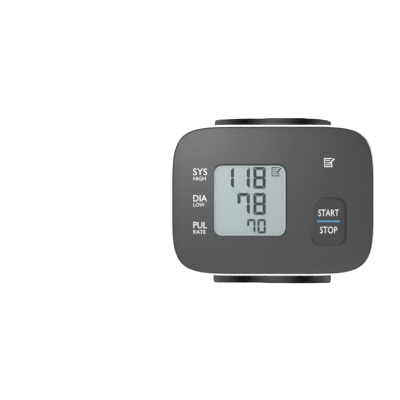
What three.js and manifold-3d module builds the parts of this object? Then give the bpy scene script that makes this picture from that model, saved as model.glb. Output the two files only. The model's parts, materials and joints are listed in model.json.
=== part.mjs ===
// Wrist blood pressure monitor, lying face up on its closed cuff.
// Millimetres. +Z is the way the face looks, +Y is the top of the display, +X is to the reader's right.
// The origin is on the surface that the cuff lies on, below the middle of the case.

import * as THREE from 'three';
import { mergeVertices } from 'three/addons/utils/BufferGeometryUtils.js';
import Module from 'manifold-3d';

const wasm = await Module();
wasm.setup();

// Clearances
const seatGap = 0.3; // between a piece and what it seats on or passes through
const keyGap = 0.2; // all round the flush memory key
const mergeDistance = 0.0001;
const past = 1; // how far a cutting shape runs past what it cuts
const fullTurn = THREE.MathUtils.radToDeg(2 * Math.PI);

// Case
const caseWidth = 84;
const caseHeight = 62;
const caseDepth = 35; // from the back to the top of the face
const sidePower = 6.6; // superellipse powers of the outline: how straight its left and right sides are
const endPower = 4.7; // and how straight its top and bottom are
const outlinePoints = 44;
const roundSteps = 3; // steps round a rounded edge
const cornerSteps = 5; // steps round a corner of the window and the keys
const rimStep = 0.8; // how far the rear case shows all round the front cover
const coverDepth = 9; // front cover, from the top of the face to the parting line
const caseWall = 1.8;
const faceDome = 0.65; // how far the face rises from its rounded edge to its middle
const edgeRound = 2.2; // width of the face's rounded edge
const edgeDrop = 2.1; // height of the face's rounded edge
const domeSteps = 3;
const domeFlat = 1; // half height of the flat in the dome's middle
const backFloor = 2.2; // thickness of the case's back
const backRound = 2; // rounding of the case's back edge
const backDraft = 1; // how far the case's sides draw in towards its back
const lipWall = 1.2; // the front cover's lip that enters the rear case
const lipDepth = 1.7; // how far it enters
const lipRoot = 1.9; // how far it runs up inside the front cover

// Cuff ring: an oval band that goes round the wrist, let into the case's back
const cuffSpan = 69.6; // across the ring, along Y
const cuffHeight = 54; // across the ring, along Z
const cuffPower = 2.7; // superellipse power of the oval
const cuffSkin = 1; // thickness of the padded band's cover
const cuffRound = 1.4; // rounding of its padded edges
const edgeRoundLimit = 0.4; // most of a band's thickness that one rounded edge may take
const cuffCrown = 0.35; // how far its middle stands out beyond its edges
const quarterCrown = 0.75; // share of the crown that is left half way to an edge
const cuffLet = 12; // how far the ring is let into the case
const footCut = 0.5; // how deep the ring is pressed flat where it lies on the table
const ringStep = 7; // degrees between the stations of the fixed band
const strapStep = 4; // and of the strap
const hingeAngle = 27; // where the strap leaves the fixed band, in degrees from +Y towards +Z
const tipJointAngle = -11; // where the strap's tip begins
const tipEndAngle = -42; // where the strap's tip ends
const bandEndShort = 4; // degrees by which the fixed band stops short of the tip's beginning
const tuckLate = 2; // degrees past the tip's end where the fixed band is fully drawn in under the strap
const tuckSpan = 40; // degrees over which it is drawn in
const endTaper = 0.2; // how much narrower the strap's end is than the strap
const endTaperAngle = 14; // degrees over which it narrows

// Cuff layers
const curlerDepth = 0.8; // curled plastic spring
const curlerMargin = 1.5; // between the curler's sides and the cover's skin
const bladderDepth = 1.5;
const liningDepth = 0.8;
const strapInset = 0.6; // how far the strap's edges lie inside the ring's oval
const strapDepth = 2.8;
const strapSkin = 0.8;
const strapCrown = 0.95;
const loopDepth = 0.5; // loop patch on the fixed band
const loopMargin = 3.5; // between its sides and the band's
const loopEndShort = 2; // degrees by which it stops short of the band's end
const loopSpan = 35; // degrees

// Saddle in the case's back that takes the cuff
const saddleGap = 0.6; // between the cuff's edges and the saddle's ends
const saddleWall = 1.6;
const endSpare = 0.7; // spare room beside the widest piece in each end of the case

// Display
const windowSize = 29.2; // the square opening in the face
const windowRound = 3.3;
const windowFlange = 1; // how far the pane runs under the face all round
const paneRecess = 1; // how far the pane lies below the top of the face
const paneThickness = 1.2;
const windowBevel = 0.6; // slope round the opening
const bevelDepth = 0.7;
const panelWidth = 32;
const panelHeight = 34;
const panelThickness = 2.2;
const holderWall = 1.2;
const holderLedge = 3.3; // what the panel rests on at its left and right
const stripThickness = 2; // rubber contact strips
const stripEndGap = 1; // between a strip's ends and the holder's ledges

// Main board
const boardTopDepth = 9.2; // top of the board below the top of the face
const boardThickness = 1.2;
const boardPostGap = 1.4; // between the board's edges and the posts of the case screws
const boardScrewMargin = 2.1; // from the board's right screws to its edges
const boardScrewClear = 0.8; // from its left screws to the valve and the sensor
const boardScrewShank = 1.6;
const boardScrewHead = 3.4;
const boardScrewHeadHeight = 1.2;
const boardScrewBite = 4.5; // how far the screw goes into its post
const boardPost = 3.6; // diameter of the posts that the board hangs on
const chipIn = 13.1; // from the board's left edge to the chip's middle
const chipY = 8;
const chipSize = 10;
const chipHeight = 1.2;

// Keys
const keySide = 11.9; // from the start key to the case's right side
const keyDisplayGap = 10.3; // from the start key to the display's opening
const keyPostGap = 1; // from the start key's flange to the board's posts on its right
const startY = -8.8;
const startWidth = 14.4;
const startHeight = 19.8;
const startRound = 4.4;
const startRise = 0.3; // how far the start key's crown stands above the top of the face
const startBevel = 1.3; // width of the key's sloping edge
const startEdgeDrop = 0.55; // how far that edge falls
const startDome = 0.1; // how far the key's top rises to its middle
const startFlatRound = 0.4; // corner radius of the key's flat middle
const memoryShift = 0.2; // the memory key's middle, to the right of the start key's
const memoryY = 15.4;
const memoryWidth = 9.6;
const memoryHeight = 8;
const memoryRound = 2.4;
const keyTravel = 0.8;
const keyFlange = 1.2; // how far a key's flange runs under the face
const keyFlangeHeight = 1;
const keyStem = 3; // diameter of the stem that pushes the switch
const switchSize = 6;
const switchHeight = 3.5;
const switchFloor = 0.6;
const plungerDiameter = 3;
const plungerRise = 0.7; // how far the plunger stands out of the switch

// Batteries: two AAA cells side by side in the left end of the case
const cellDiameter = 10.5;
const cellLength = 44.5;
const cellNubDiameter = 3.8;
const cellNubHeight = 0.9;
const contactThickness = 0.45;
const contactWidth = 9;
const pocketWall = 1.2;
const coverPast = 0.45; // how far the battery cover runs past the cells' ends
const coverGrooves = 5;
const grooveDepth = 0.5;
const grooveWidth = 0.9;
const groovePitch = 2.2;
const grooveStart = 10; // first groove from the cover's middle
const cellRibWidth = 1.2; // ribs that keep the cells in place
const cellRibReach = 4.75; // how far they reach out from the cells' axis
const cellRibGap = 0.8; // between them and the pocket's inner side or the display's holder
const cellRibY = 12;
const doorRibMargin = 2;
const grooveMargin = 4;

// Air system
const pumpBodyDiameter = 11.2;
const pumpBodyLength = 12.7;
const pumpHeadLength = 11;
const pumpHeadWidth = 11.2;
const pumpHeadHeight = 12;
const pumpEndGap = 2.2; // between the motor and the screw column behind it
const nozzleDiameter = 3.2;
const nozzleLength = 3;
const tubeDiameter = 4;
const tubeBore = 2;
const tubeSides = 10;
const tubeSteps = 10;
const tubeLean = 0.35; // where along its level run a tube's bend ends
const teeFromConnector = 15; // from the cuff's air connector to the tee
const teeSize = 7;
const teeHeight = 5;
const teeSeat = 6; // width of the post that carries the tee
const sideTubeLength = 3.4; // tubes from the tee to the valve and the sensor
const valveWidth = 9;
const valveLength = 11;
const sensorSize = 7;
const connectorIn = 5.5; // from the bladder's left side to the connector
const connectorFlange = 8;
const connectorRise = 0.8; // how far the connector stands up above the saddle's roof

// Case screws and cuff rivets
const backScrewSide = 9; // from the case's right side to the right screws
const backScrewEnd = 6.5; // from the case's top and bottom to the right screws
const saddleScrewIn = 4.1; // from the saddle's left end to the left screws
const holderPostGap = 2.5; // from the display's holder to the left screws' posts
const caseScrewShank = 2.4;
const caseScrewHead = 4.4;
const caseScrewHeadHeight = 1.5;
const caseScrewSink = 0.7; // how far the head lies below the case's back
const saddleScrewSeat = 12.1; // height of the hidden screws' seats above the case's back
const caseScrewBite = 5;
const screwColumn = 7.6;
const screwPost = 6;
const rivetClear = 1.2; // between a rivet's head and what lies beside it
const rivetShank = 2.6;
const rivetHead = 4.6;
const rivetHeadHeight = 0.8;
const roundSides = 12;

// Levels that follow from the sizes above
const ringHalfSpan = cuffSpan / 2;
const ringHalfHeight = cuffHeight / 2;
const ringMiddle = ringHalfHeight + cuffCrown - footCut;
const ringTop = ringMiddle + ringHalfHeight;
const caseBack = ringTop - cuffLet;
const faceTop = caseBack + caseDepth;
const partingLine = faceTop - coverDepth;
const halfWidth = caseWidth / 2;
const halfHeight = caseHeight / 2;
const coverCeiling = faceTop - faceDome - caseWall;
const lipBottom = partingLine - lipDepth;
const caseFloor = caseBack + backFloor;
const saddleTop = ringTop + cuffCrown + seatGap;
const saddleRoof = saddleTop + saddleWall;
const boardTop = faceTop - boardTopDepth;
const boardBottom = boardTop - boardThickness;
const columnTop = lipBottom - seatGap;
const rivetFlareLow = saddleRoof + seatGap;
const rivetFlareTop = rivetFlareLow + rivetHeadHeight;
const airLevel = (rivetFlareTop + boardBottom) / 2; // the air line runs midway between rivets and board

// The cuff takes the width that the pieces in the ends of the case leave free
const widestInEnd = Math.max(cellDiameter, pumpHeadWidth, pumpBodyDiameter);
const endRoom = caseWall + backDraft + endSpare + widestInEnd + 2 * seatGap + saddleWall + saddleGap;
const cuffWidth = caseWidth - 2 * endRoom;
const cuffDepth = cuffSkin + curlerDepth + bladderDepth + liningDepth + 3 * seatGap;
const curlerWidth = cuffWidth - 2 * (cuffSkin + curlerMargin);
const bladderWidth = cuffWidth - 2 * (cuffSkin + rivetHead + 2 * rivetClear);
const rivetX = bladderWidth / 2 + rivetClear + rivetHead / 2;
const loopWidth = cuffWidth - 2 * loopMargin;
const saddleHalf = cuffWidth / 2 + saddleGap;
const pocketInner = -(saddleHalf + saddleWall); // the battery pocket's inner side
const strapInner = strapInset + strapDepth;
const tuckDepth = strapInner + loopDepth + cuffCrown + 2 * seatGap;
const tuckEnd = fullTurn + tipEndAngle + tuckLate;
const tuckStart = tuckEnd - tuckSpan;
const bandEndAngle = fullTurn + tipJointAngle - bandEndShort;
const loopEnd = bandEndAngle - loopEndShort;
const loopStart = loopEnd - loopSpan;

// Places across the face, on the board and in the case
const startX = halfWidth - keySide - startWidth / 2;
const memoryX = startX + memoryShift;
const displayX = startX - startWidth / 2 - keyDisplayGap - windowSize / 2;
const flangeLeft = startX - startWidth / 2 - keyFlange;
const flangeRight = startX + startWidth / 2 + keyFlange;
const holderHalfWidth = panelWidth / 2 + seatGap + holderWall;
const holderHalfHeight = panelHeight / 2 + seatGap + holderWall;
const holderLeft = displayX - holderHalfWidth;
const holderRight = displayX + holderHalfWidth;
const backScrewX = halfWidth - backScrewSide;
const backScrewY = halfHeight - backScrewEnd;
const saddleScrewX = saddleScrewIn - saddleHalf;
const saddleScrewY = holderHalfHeight + holderPostGap + screwPost / 2;
const boardHalfHeight = Math.min(backScrewY, saddleScrewY) - screwPost / 2 - boardPostGap;
const connectorX = connectorIn - bladderWidth / 2;
const teeX = connectorX + teeFromConnector;

// Where the tubes to the valve and the sensor start and end, as distances from the tee's middle
const sideTubeStart = teeSize / 2 + nozzleLength + seatGap;
const sideTubeEnd = sideTubeStart + sideTubeLength;
const sideNozzleStart = sideTubeEnd + seatGap;
const sideBodyStart = sideNozzleStart + nozzleLength;

// The board's left screws lie between the display and the keys, its right screws beside the keys
const leftScrewX = (holderRight + flangeLeft) / 2;
const leftScrewY = sideBodyStart - boardScrewClear - boardScrewHead / 2;
const rightScrewX = flangeRight + keyPostGap + boardPost / 2;
const rightScrewY = boardHalfHeight - boardScrewMargin;
const boardScrewPlaces = [
  [leftScrewX, -leftScrewY],
  [leftScrewX, leftScrewY],
  [rightScrewX, -rightScrewY],
  [rightScrewX, rightScrewY],
];
const boardLeft = -saddleHalf;
const boardRight = rightScrewX + boardScrewMargin;
const chipX = boardLeft + chipIn;

// Small helpers

function signedPower(value, power) {
  return Math.sign(value) * Math.abs(value) ** power;
}

function smoothStep(low, high, value) {
  const share = Math.min(1, Math.max(0, (value - low) / (high - low)));
  return share * share * (3 - 2 * share);
}

// Solids: every shape becomes a closed solid whose faces point out

function solidOf(geometry) {
  const bare = new THREE.BufferGeometry();
  bare.setAttribute('position', geometry.getAttribute('position'));
  bare.setIndex(geometry.getIndex());
  const merged = mergeVertices(bare, mergeDistance);
  const position = merged.getAttribute('position');
  const corners = [];
  const a = new THREE.Vector3();
  const b = new THREE.Vector3();
  const c = new THREE.Vector3();
  let volume = 0;
  for (let i = 0; i < merged.index.count; i += 3) {
    const triangle = [0, 1, 2].map((k) => merged.index.getX(i + k));
    if (new Set(triangle).size === 3) {
      corners.push(triangle);
      a.fromBufferAttribute(position, triangle[0]);
      b.fromBufferAttribute(position, triangle[1]);
      c.fromBufferAttribute(position, triangle[2]);
      volume += a.dot(b.cross(c));
    }
  }
  if (volume < 0) {
    corners.forEach((triangle) => triangle.reverse());
  }
  const mesh = new wasm.Mesh({
    numProp: 3,
    vertProperties: new Float32Array(position.array),
    triVerts: new Uint32Array(corners.flat()),
  });
  return new wasm.Manifold(mesh);
}

function geometryOf(solid) {
  const mesh = solid.getMesh();
  const geometry = new THREE.BufferGeometry();
  geometry.setAttribute('position', new THREE.BufferAttribute(mesh.vertProperties, 3));
  geometry.setIndex(new THREE.BufferAttribute(mesh.triVerts, 1));
  geometry.computeVertexNormals();
  return geometry;
}

function join(...solids) {
  return solids.reduce((whole, solid) => whole.add(solid));
}

function cut(solid, ...tools) {
  return tools.reduce((rest, tool) => rest.subtract(tool), solid);
}

function block(x, y, z) {
  const geometry = new THREE.BoxGeometry(x[1] - x[0], y[1] - y[0], z[1] - z[0]);
  geometry.translate((x[0] + x[1]) / 2, (y[0] + y[1]) / 2, (z[0] + z[1]) / 2);
  return solidOf(geometry);
}

function around(middle, width) {
  return [middle - width / 2, middle + width / 2];
}

// A round bar along Z, X or Y, from one end to the other
function bar(diameter, x, y, z) {
  const spans = [x, y, z].map((place) => (Array.isArray(place) ? place : [place, place]));
  const length = Math.max(...spans.map((span) => span[1] - span[0]));
  const geometry = new THREE.CylinderGeometry(diameter / 2, diameter / 2, length, roundSides);
  if (Array.isArray(z)) {
    geometry.rotateX(Math.PI / 2);
  }
  if (Array.isArray(x)) {
    geometry.rotateZ(Math.PI / 2);
  }
  geometry.translate(...spans.map((span) => (span[0] + span[1]) / 2));
  return solidOf(geometry);
}

// A turned piece: [radius, height] steps about the Z axis
function turned(profile) {
  const points = profile.map(([radius, height]) => new THREE.Vector2(radius, height));
  const geometry = new THREE.LatheGeometry(points, roundSides);
  geometry.rotateX(Math.PI / 2);
  return solidOf(geometry);
}

// A skin through rings of points, closed at both ends; the contour is one ring laid out flat
function loft(rings, contour) {
  const count = contour.length;
  const points = rings.flat();
  const index = [];
  for (let ring = 0; ring + 1 < rings.length; ring += 1) {
    for (let i = 0; i < count; i += 1) {
      const here = ring * count + i;
      const next = ring * count + ((i + 1) % count);
      index.push(here, next, next + count);
      index.push(here, next + count, here + count);
    }
  }
  const last = (rings.length - 1) * count;
  for (const [a, b, c] of THREE.ShapeUtils.triangulateShape(contour, [])) {
    index.push(c, b, a);
    index.push(last + a, last + b, last + c);
  }
  const geometry = new THREE.BufferGeometry().setFromPoints(points);
  geometry.setIndex(index);
  return solidOf(geometry);
}

// Outlines

function caseOutline(halfX, halfY) {
  const points = [];
  for (let i = 0; i < outlinePoints; i += 1) {
    const turn = (2 * Math.PI * i) / outlinePoints;
    const x = halfX * signedPower(Math.cos(turn), 2 / sidePower);
    const y = halfY * signedPower(Math.sin(turn), 2 / endPower);
    points.push(new THREE.Vector2(x, y));
  }
  return points;
}

function roundedOutline(width, height, radius, x = 0, y = 0) {
  const right = x + width / 2 - radius;
  const top = y + height / 2 - radius;
  const left = x - width / 2 + radius;
  const bottom = y - height / 2 + radius;
  const shape = new THREE.Shape();
  shape.absarc(right, top, radius, 0, Math.PI / 2);
  shape.absarc(left, top, radius, Math.PI / 2, Math.PI);
  shape.absarc(left, bottom, radius, Math.PI, 1.5 * Math.PI);
  shape.absarc(right, bottom, radius, 1.5 * Math.PI, 2 * Math.PI);
  const points = shape.getPoints(cornerSteps);
  if (points[0].distanceTo(points[points.length - 1]) < mergeDistance) {
    points.pop();
  }
  return points;
}

function prism(outline, low, high) {
  const geometry = new THREE.ExtrudeGeometry(new THREE.Shape(outline), {
    depth: high - low,
    bevelEnabled: false,
  });
  geometry.translate(0, 0, low);
  return solidOf(geometry);
}

// Outlines of one family stacked in height: each level is [inset, height]
function stack(outlineAt, levels) {
  const outlines = levels.map(([inset]) => outlineAt(inset));
  const rings = outlines.map((outline, level) =>
    outline.map((point) => new THREE.Vector3(point.x, point.y, levels[level][1])));
  return loft(rings, outlines[0]);
}

// The cuff's oval, and bands that follow it

function ringPoint(angle, inset) {
  const along = Math.cos(THREE.MathUtils.degToRad(angle));
  const up = Math.sin(THREE.MathUtils.degToRad(angle));
  const sum = Math.abs(along / ringHalfSpan) ** cuffPower + Math.abs(up / ringHalfHeight) ** cuffPower;
  const reach = sum ** (-1 / cuffPower);
  const y = reach * along;
  const z = reach * up;
  const normal = new THREE.Vector2(
    signedPower(y / ringHalfSpan, cuffPower - 1) / ringHalfSpan,
    signedPower(z / ringHalfHeight, cuffPower - 1) / ringHalfHeight,
  ).normalize();
  return new THREE.Vector2(y - inset * normal.x, ringMiddle + z - inset * normal.y);
}

// The angle that a length along the ring takes up near an angle
function angleOver(length, angle) {
  const probe = 0.5;
  const chord = ringPoint(angle + probe, 0).distanceTo(ringPoint(angle - probe, 0));
  return (2 * probe * length) / chord;
}

function ovalPrism(grow, halfLength) {
  const points = [];
  for (let angle = 0; angle < fullTurn; angle += ringStep) {
    points.push(ringPoint(angle, -grow));
  }
  const contour = points.map((point) => new THREE.Vector2(point.x, point.y));
  const rings = [-halfLength, halfLength].map((x) =>
    points.map((point) => new THREE.Vector3(x, point.x, point.y)));
  return loft(rings, contour);
}

// A band swept round the ring: the section holds [x, depth below the ring's surface] points
function band(section, from, to, insetAt, widthAt = () => 1, stepAngle = ringStep) {
  const steps = Math.ceil(Math.abs(to - from) / stepAngle);
  const contour = section.map(([x, depth]) => new THREE.Vector2(x, depth));
  if (THREE.ShapeUtils.isClockWise(contour)) {
    contour.reverse();
  }
  const rings = [];
  for (let step = 0; step <= steps; step += 1) {
    const angle = from + ((to - from) * step) / steps;
    rings.push(contour.map((point) => {
      const place = ringPoint(angle, point.y + insetAt(angle));
      return new THREE.Vector3(point.x * widthAt(angle), place.x, Math.max(0, place.y));
    }));
  }
  return loft(rings, contour);
}

function paddedSection(width, depth, crown) {
  const half = width / 2;
  const round = Math.min(cuffRound, edgeRoundLimit * depth);
  const shoulder = round * (1 - Math.SQRT1_2);
  const rightSide = [
    [half / 2, -quarterCrown * crown],
    [half - round, 0],
    [half - shoulder, shoulder],
    [half, round],
    [half, depth - round],
    [half - shoulder, depth - shoulder],
    [half - round, depth],
  ];
  const leftSide = rightSide.map(([x, level]) => [-x, level]).reverse();
  return [[0, -crown], ...rightSide, ...leftSide];
}

function flatSection(width, low, high) {
  const half = width / 2;
  return [[-half, low], [half, low], [half, high], [-half, high]];
}

function fixedTuck(angle) {
  return tuckDepth * smoothStep(tuckStart, tuckEnd, angle);
}

function strapTuck() {
  return strapInset;
}

// Case parts

// Levels round an edge, from a side wall up to a flat top: a quarter of an ellipse
function roundLevels(width, height, top) {
  const levels = [];
  for (let step = 0; step <= roundSteps; step += 1) {
    const turn = (Math.PI / 2) * (step / roundSteps);
    levels.push([width * (1 - Math.cos(turn)), top - height * (1 - Math.sin(turn))]);
  }
  return levels;
}

function faceLevels() {
  const edgeTop = faceTop - faceDome;
  const middle = halfHeight - rimStep - domeFlat;
  const dome = [];
  for (let step = 1; step <= domeSteps; step += 1) {
    const share = step / domeSteps;
    const inset = edgeRound + (middle - edgeRound) * share;
    dome.push([inset, edgeTop + faceDome * (1 - (1 - share) ** 2)]);
  }
  return [[0, partingLine + seatGap / 2], ...roundLevels(edgeRound, edgeDrop, edgeTop), ...dome];
}

function coverOutline(inset) {
  return caseOutline(halfWidth - rimStep - inset, halfHeight - rimStep - inset);
}

function rearOutline(inset) {
  return caseOutline(halfWidth - inset, halfHeight - inset);
}

function faceBlock() {
  return stack(coverOutline, faceLevels());
}

function rearBlock() {
  const backEdge = roundLevels(backRound, backRound, 0).reverse();
  const levels = backEdge.map(([inset, height]) => [backDraft + inset, caseBack - height]);
  return stack(rearOutline, [...levels, [0, partingLine - seatGap / 2]]);
}

// The room inside the rear case, from a height up: its walls follow the sides
function rearRoom(low) {
  return stack(rearOutline, [
    [caseWall + backDraft, low],
    [caseWall, partingLine - seatGap / 2],
    [caseWall, partingLine + past],
  ]);
}

function windowOutline(inset) {
  const size = windowSize - 2 * inset;
  return roundedOutline(size, size, windowRound - inset, displayX);
}

function startOutline(inset) {
  return roundedOutline(startWidth - 2 * inset, startHeight - 2 * inset, startRound - inset, startX, startY);
}

function memoryOutline(inset) {
  const width = memoryWidth - 2 * inset;
  return roundedOutline(width, memoryHeight - 2 * inset, memoryRound - inset, memoryX, memoryY);
}

const screwPlaces = {
  upper_right: [backScrewX, backScrewY, caseBack + caseScrewSink + caseScrewHeadHeight + seatGap],
  lower_right: [backScrewX, -backScrewY, caseBack + caseScrewSink + caseScrewHeadHeight + seatGap],
  upper_left: [saddleScrewX, saddleScrewY, caseBack + saddleScrewSeat],
  lower_left: [saddleScrewX, -saddleScrewY, caseBack + saddleScrewSeat],
};

// Cells lie along Y, one above the other, against the saddle's end wall
const cellX = pocketInner - seatGap - cellDiameter / 2;
const lowerCellZ = caseFloor + seatGap + cellDiameter / 2;
const upperCellZ = lowerCellZ + cellDiameter + seatGap;
const cellTop = upperCellZ + cellDiameter / 2;
const cellFace = cellX - cellDiameter / 2 - seatGap; // how far in the battery cover's ribs reach
const contactY = cellLength / 2 + seatGap;
const pocketEnd = contactY + contactThickness + seatGap;
const coverHalfLength = cellLength / 2 + coverPast;

// The room that the cells and their contacts take up, from a place outside them to the pocket's inner side
function pocketRoom(outside) {
  return block([outside, pocketInner], around(0, 2 * pocketEnd), [caseFloor, cellTop + seatGap]);
}

function frontCover() {
  const inside = stack(coverOutline, [
    [caseWall, partingLine - past],
    [caseWall, coverCeiling],
  ]);
  const lipOuter = caseWall + seatGap;
  const lipLevels = [lipBottom, partingLine + lipRoot];
  const lipSolid = prism(rearOutline(lipOuter), ...lipLevels);
  const lipInside = prism(rearOutline(lipOuter + lipWall), lipBottom - past, partingLine + lipRoot + past);
  const lip = cut(lipSolid, lipInside, pocketRoom(-halfWidth));
  const rootInCeiling = coverCeiling + caseWall / 2;
  const posts = [];
  const pilots = [];
  for (const [x, y] of Object.values(screwPlaces)) {
    posts.push(bar(screwPost, x, y, [lipBottom, rootInCeiling]));
    const end = lipBottom + caseScrewBite + seatGap;
    pilots.push(bar(caseScrewShank + 2 * seatGap, x, y, [lipBottom - past, end]));
  }
  for (const [x, y] of boardScrewPlaces) {
    const foot = boardTop + seatGap;
    posts.push(bar(boardPost, x, y, [foot, rootInCeiling]));
    const end = boardTop + boardScrewBite + seatGap;
    pilots.push(bar(boardScrewShank + 2 * seatGap, x, y, [foot - past, end]));
  }
  for (const y of [-cellRibY, cellRibY]) {
    const ribX = [cellX - cellRibReach, Math.min(pocketInner, holderLeft) - cellRibGap];
    posts.push(block(ribX, around(y, cellRibWidth), [cellTop + seatGap, rootInCeiling]));
  }
  const inLip = prism(rearOutline(lipOuter), lipBottom, rootInCeiling);
  const fittings = join(...posts).intersect(inLip);
  const opening = stack(windowOutline, [
    [0, coverCeiling - past],
    [0, faceTop - bevelDepth],
    [-windowBevel, faceTop],
    [-windowBevel, faceTop + past],
  ]);
  const paneOutline = windowOutline(-windowFlange - seatGap);
  const paneSeat = prism(paneOutline, coverCeiling - past, faceTop - paneRecess + seatGap);
  const startHole = prism(startOutline(-seatGap), coverCeiling - past, faceTop + past);
  const memoryHole = prism(memoryOutline(-keyGap), coverCeiling - past, faceTop + past);
  const shell = cut(faceBlock(), inside);
  return cut(join(shell, lip, fittings), ...pilots, opening, paneSeat, startHole, memoryHole);
}

// The space between the battery opening's edges, a gap larger than the battery cover
const doorLow = caseFloor + seatGap;
const doorHigh = cellTop;

function doorBlock(grow, reach) {
  const y = around(0, 2 * (coverHalfLength + grow));
  return block([-halfWidth - past, reach], y, [doorLow - grow, doorHigh + grow]);
}

function rearCase() {
  const inside = rearRoom(caseFloor);
  const channel = ovalPrism(cuffCrown + seatGap, saddleHalf);
  const channelRoof = ovalPrism(cuffCrown + seatGap + saddleWall, saddleHalf + saddleWall);
  const columns = [];
  const holes = [];
  for (const [x, y, seat] of Object.values(screwPlaces)) {
    columns.push(bar(screwColumn, x, y, [caseBack, columnTop]));
    holes.push(bar(caseScrewShank + 2 * seatGap, x, y, [caseBack, partingLine + past]));
    holes.push(bar(caseScrewHead + 2 * seatGap, x, y, [caseBack - past, seat]));
  }
  const divider = [pocketInner, pocketInner + saddleWall];
  const pocketSpan = around(0, 2 * (pocketEnd + pocketWall));
  const partition = block(divider, pocketSpan, [caseBack, columnTop]);
  const pocketEnds = [-1, 1].map((side) => {
    const wall = [side * pocketEnd, side * (pocketEnd + pocketWall)].sort((a, b) => a - b);
    return block([-halfWidth, pocketInner + saddleWall / 2], wall, [caseBack, columnTop]);
  });
  const teeSeatTop = airLevel - teeHeight / 2 - seatGap;
  const teePost = block(around(teeX, teeSeat), around(0, teeSeat), [saddleTop, teeSeatTop]);
  const cavity = cut(inside, channelRoof, ...columns, partition, ...pocketEnds, teePost);
  for (const x of [-rivetX, rivetX]) {
    holes.push(bar(rivetShank + 2 * seatGap, x, 0, [saddleTop - past, saddleRoof + past]));
  }
  holes.push(bar(tubeDiameter + 2 * seatGap, connectorX, 0, [saddleTop - past, saddleRoof + past]));
  return cut(rearBlock(), cavity, channel, ...holes, doorBlock(seatGap, cellX), pocketRoom(cellFace));
}

function batteryCover() {
  const skin = cut(rearBlock(), rearRoom(caseBack - past)).intersect(doorBlock(0, cellFace));
  const ribLevels = [doorLow + doorRibMargin, doorHigh - doorRibMargin];
  const ribRoot = -(halfWidth - backDraft) * sideShare(cellRibY) + caseWall / 2;
  const ribs = [-cellRibY, cellRibY].map((y) =>
    block([ribRoot, cellFace], around(y, cellRibWidth), ribLevels));
  const grooves = [];
  for (let i = 0; i < coverGrooves; i += 1) {
    const y = grooveStart + i * groovePitch;
    const bottom = -(halfWidth - backDraft / 2) * sideShare(y) + grooveDepth;
    const levels = [doorLow + grooveMargin, doorHigh - grooveMargin];
    grooves.push(block([-halfWidth - past, bottom], around(y, grooveWidth), levels));
  }
  return cut(join(skin, ...ribs), ...grooves);
}

// How far the case's side lies from the middle at a height y, as a share of half its width
function sideShare(y) {
  return (1 - Math.abs(y / halfHeight) ** endPower) ** (1 / sidePower);
}

function displayWindow() {
  const top = faceTop - paneRecess;
  return prism(windowOutline(-windowFlange), top - paneThickness, top);
}

// The display's panel lies under the pane and the face, on the holder's ledges
const panelTop = coverCeiling - seatGap;
const panelBottom = panelTop - panelThickness;
const ledgeTop = panelBottom - seatGap;
const ledgeSpan = panelWidth + 2 * seatGap - 2 * holderLedge; // from one ledge to the other

function lcdPanel() {
  return block(around(displayX, panelWidth), around(0, panelHeight), [panelBottom, panelTop]);
}

function lcdHolder() {
  const outerLevels = [boardTop + seatGap, coverCeiling - seatGap];
  const outer = block([holderLeft, holderRight], around(0, 2 * holderHalfHeight), outerLevels);
  const roomX = around(displayX, panelWidth + 2 * seatGap);
  const roomY = around(0, panelHeight + 2 * seatGap);
  const room = block(roomX, roomY, [ledgeTop, coverCeiling]);
  const through = block(around(displayX, ledgeSpan), roomY, [boardTop, ledgeTop + past]);
  return cut(outer, room, through);
}

function contactStrip(side) {
  const x = around(displayX, ledgeSpan - 2 * stripEndGap);
  const y = around(side * (panelHeight / 2 - stripThickness / 2), stripThickness);
  return block(x, y, [boardTop + seatGap, ledgeTop]);
}

function mainBoard() {
  const board = block([boardLeft, boardRight], around(0, 2 * boardHalfHeight), [boardBottom, boardTop]);
  const holes = boardScrewPlaces.map(([x, y]) =>
    bar(boardScrewShank + 2 * seatGap, x, y, [boardBottom - past, boardTop + past]));
  return cut(board, ...holes);
}

function processorChip() {
  const top = boardBottom - seatGap;
  return block(around(chipX, chipSize), around(chipY, chipSize), [top - chipHeight, top]);
}

// A screw stands on the seat's plane at height 0, with its head below and its shank above
function screw(head, headHeight, shank, length) {
  return turned([
    [0, -headHeight],
    [head / 2, -headHeight],
    [head / 2, 0],
    [shank / 2, 0],
    [shank / 2, length],
    [0, length],
  ]);
}

// Keys and switches

const flangeTop = coverCeiling - seatGap;
const flangeBottom = flangeTop - keyFlangeHeight;
const switchTop = boardTop + seatGap + switchHeight;
const plungerTop = switchTop + plungerRise;
const stemBottom = plungerTop + seatGap;
const plungerBottom = boardTop + seatGap + switchFloor + keyTravel + seatGap;

function keyFoot(outline, x, y) {
  const flange = prism(outline(-keyFlange), flangeBottom, flangeTop);
  const stem = bar(keyStem, x, y, [stemBottom, flangeTop]);
  return join(flange, stem);
}

function startButton() {
  const crown = faceTop + startRise;
  const cap = stack(startOutline, [
    [0, flangeBottom],
    ...roundLevels(startBevel, startEdgeDrop, crown - startDome),
    [startRound - startFlatRound, crown],
  ]);
  return join(cap, keyFoot(startOutline, startX, startY));
}

function memoryButton() {
  const cap = prism(memoryOutline(0), flangeBottom, faceTop + past).intersect(faceBlock());
  return join(cap, keyFoot(memoryOutline, memoryX, memoryY));
}

function switchBase(x, y) {
  const bottom = boardTop + seatGap;
  const body = block(around(x, switchSize), around(y, switchSize), [bottom, switchTop]);
  const well = bar(plungerDiameter + 2 * seatGap, x, y, [bottom + switchFloor, switchTop + past]);
  return cut(body, well);
}

function switchPlunger(x, y) {
  return bar(plungerDiameter, x, y, [plungerBottom, plungerTop]);
}

// Batteries

function cell() {
  const half = cellLength / 2;
  const shoulder = half - cellNubHeight;
  return turned([
    [0, -half],
    [cellDiameter / 2, -half],
    [cellDiameter / 2, shoulder],
    [cellNubDiameter / 2, shoulder],
    [cellNubDiameter / 2, half],
    [0, half],
  ]);
}

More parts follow.
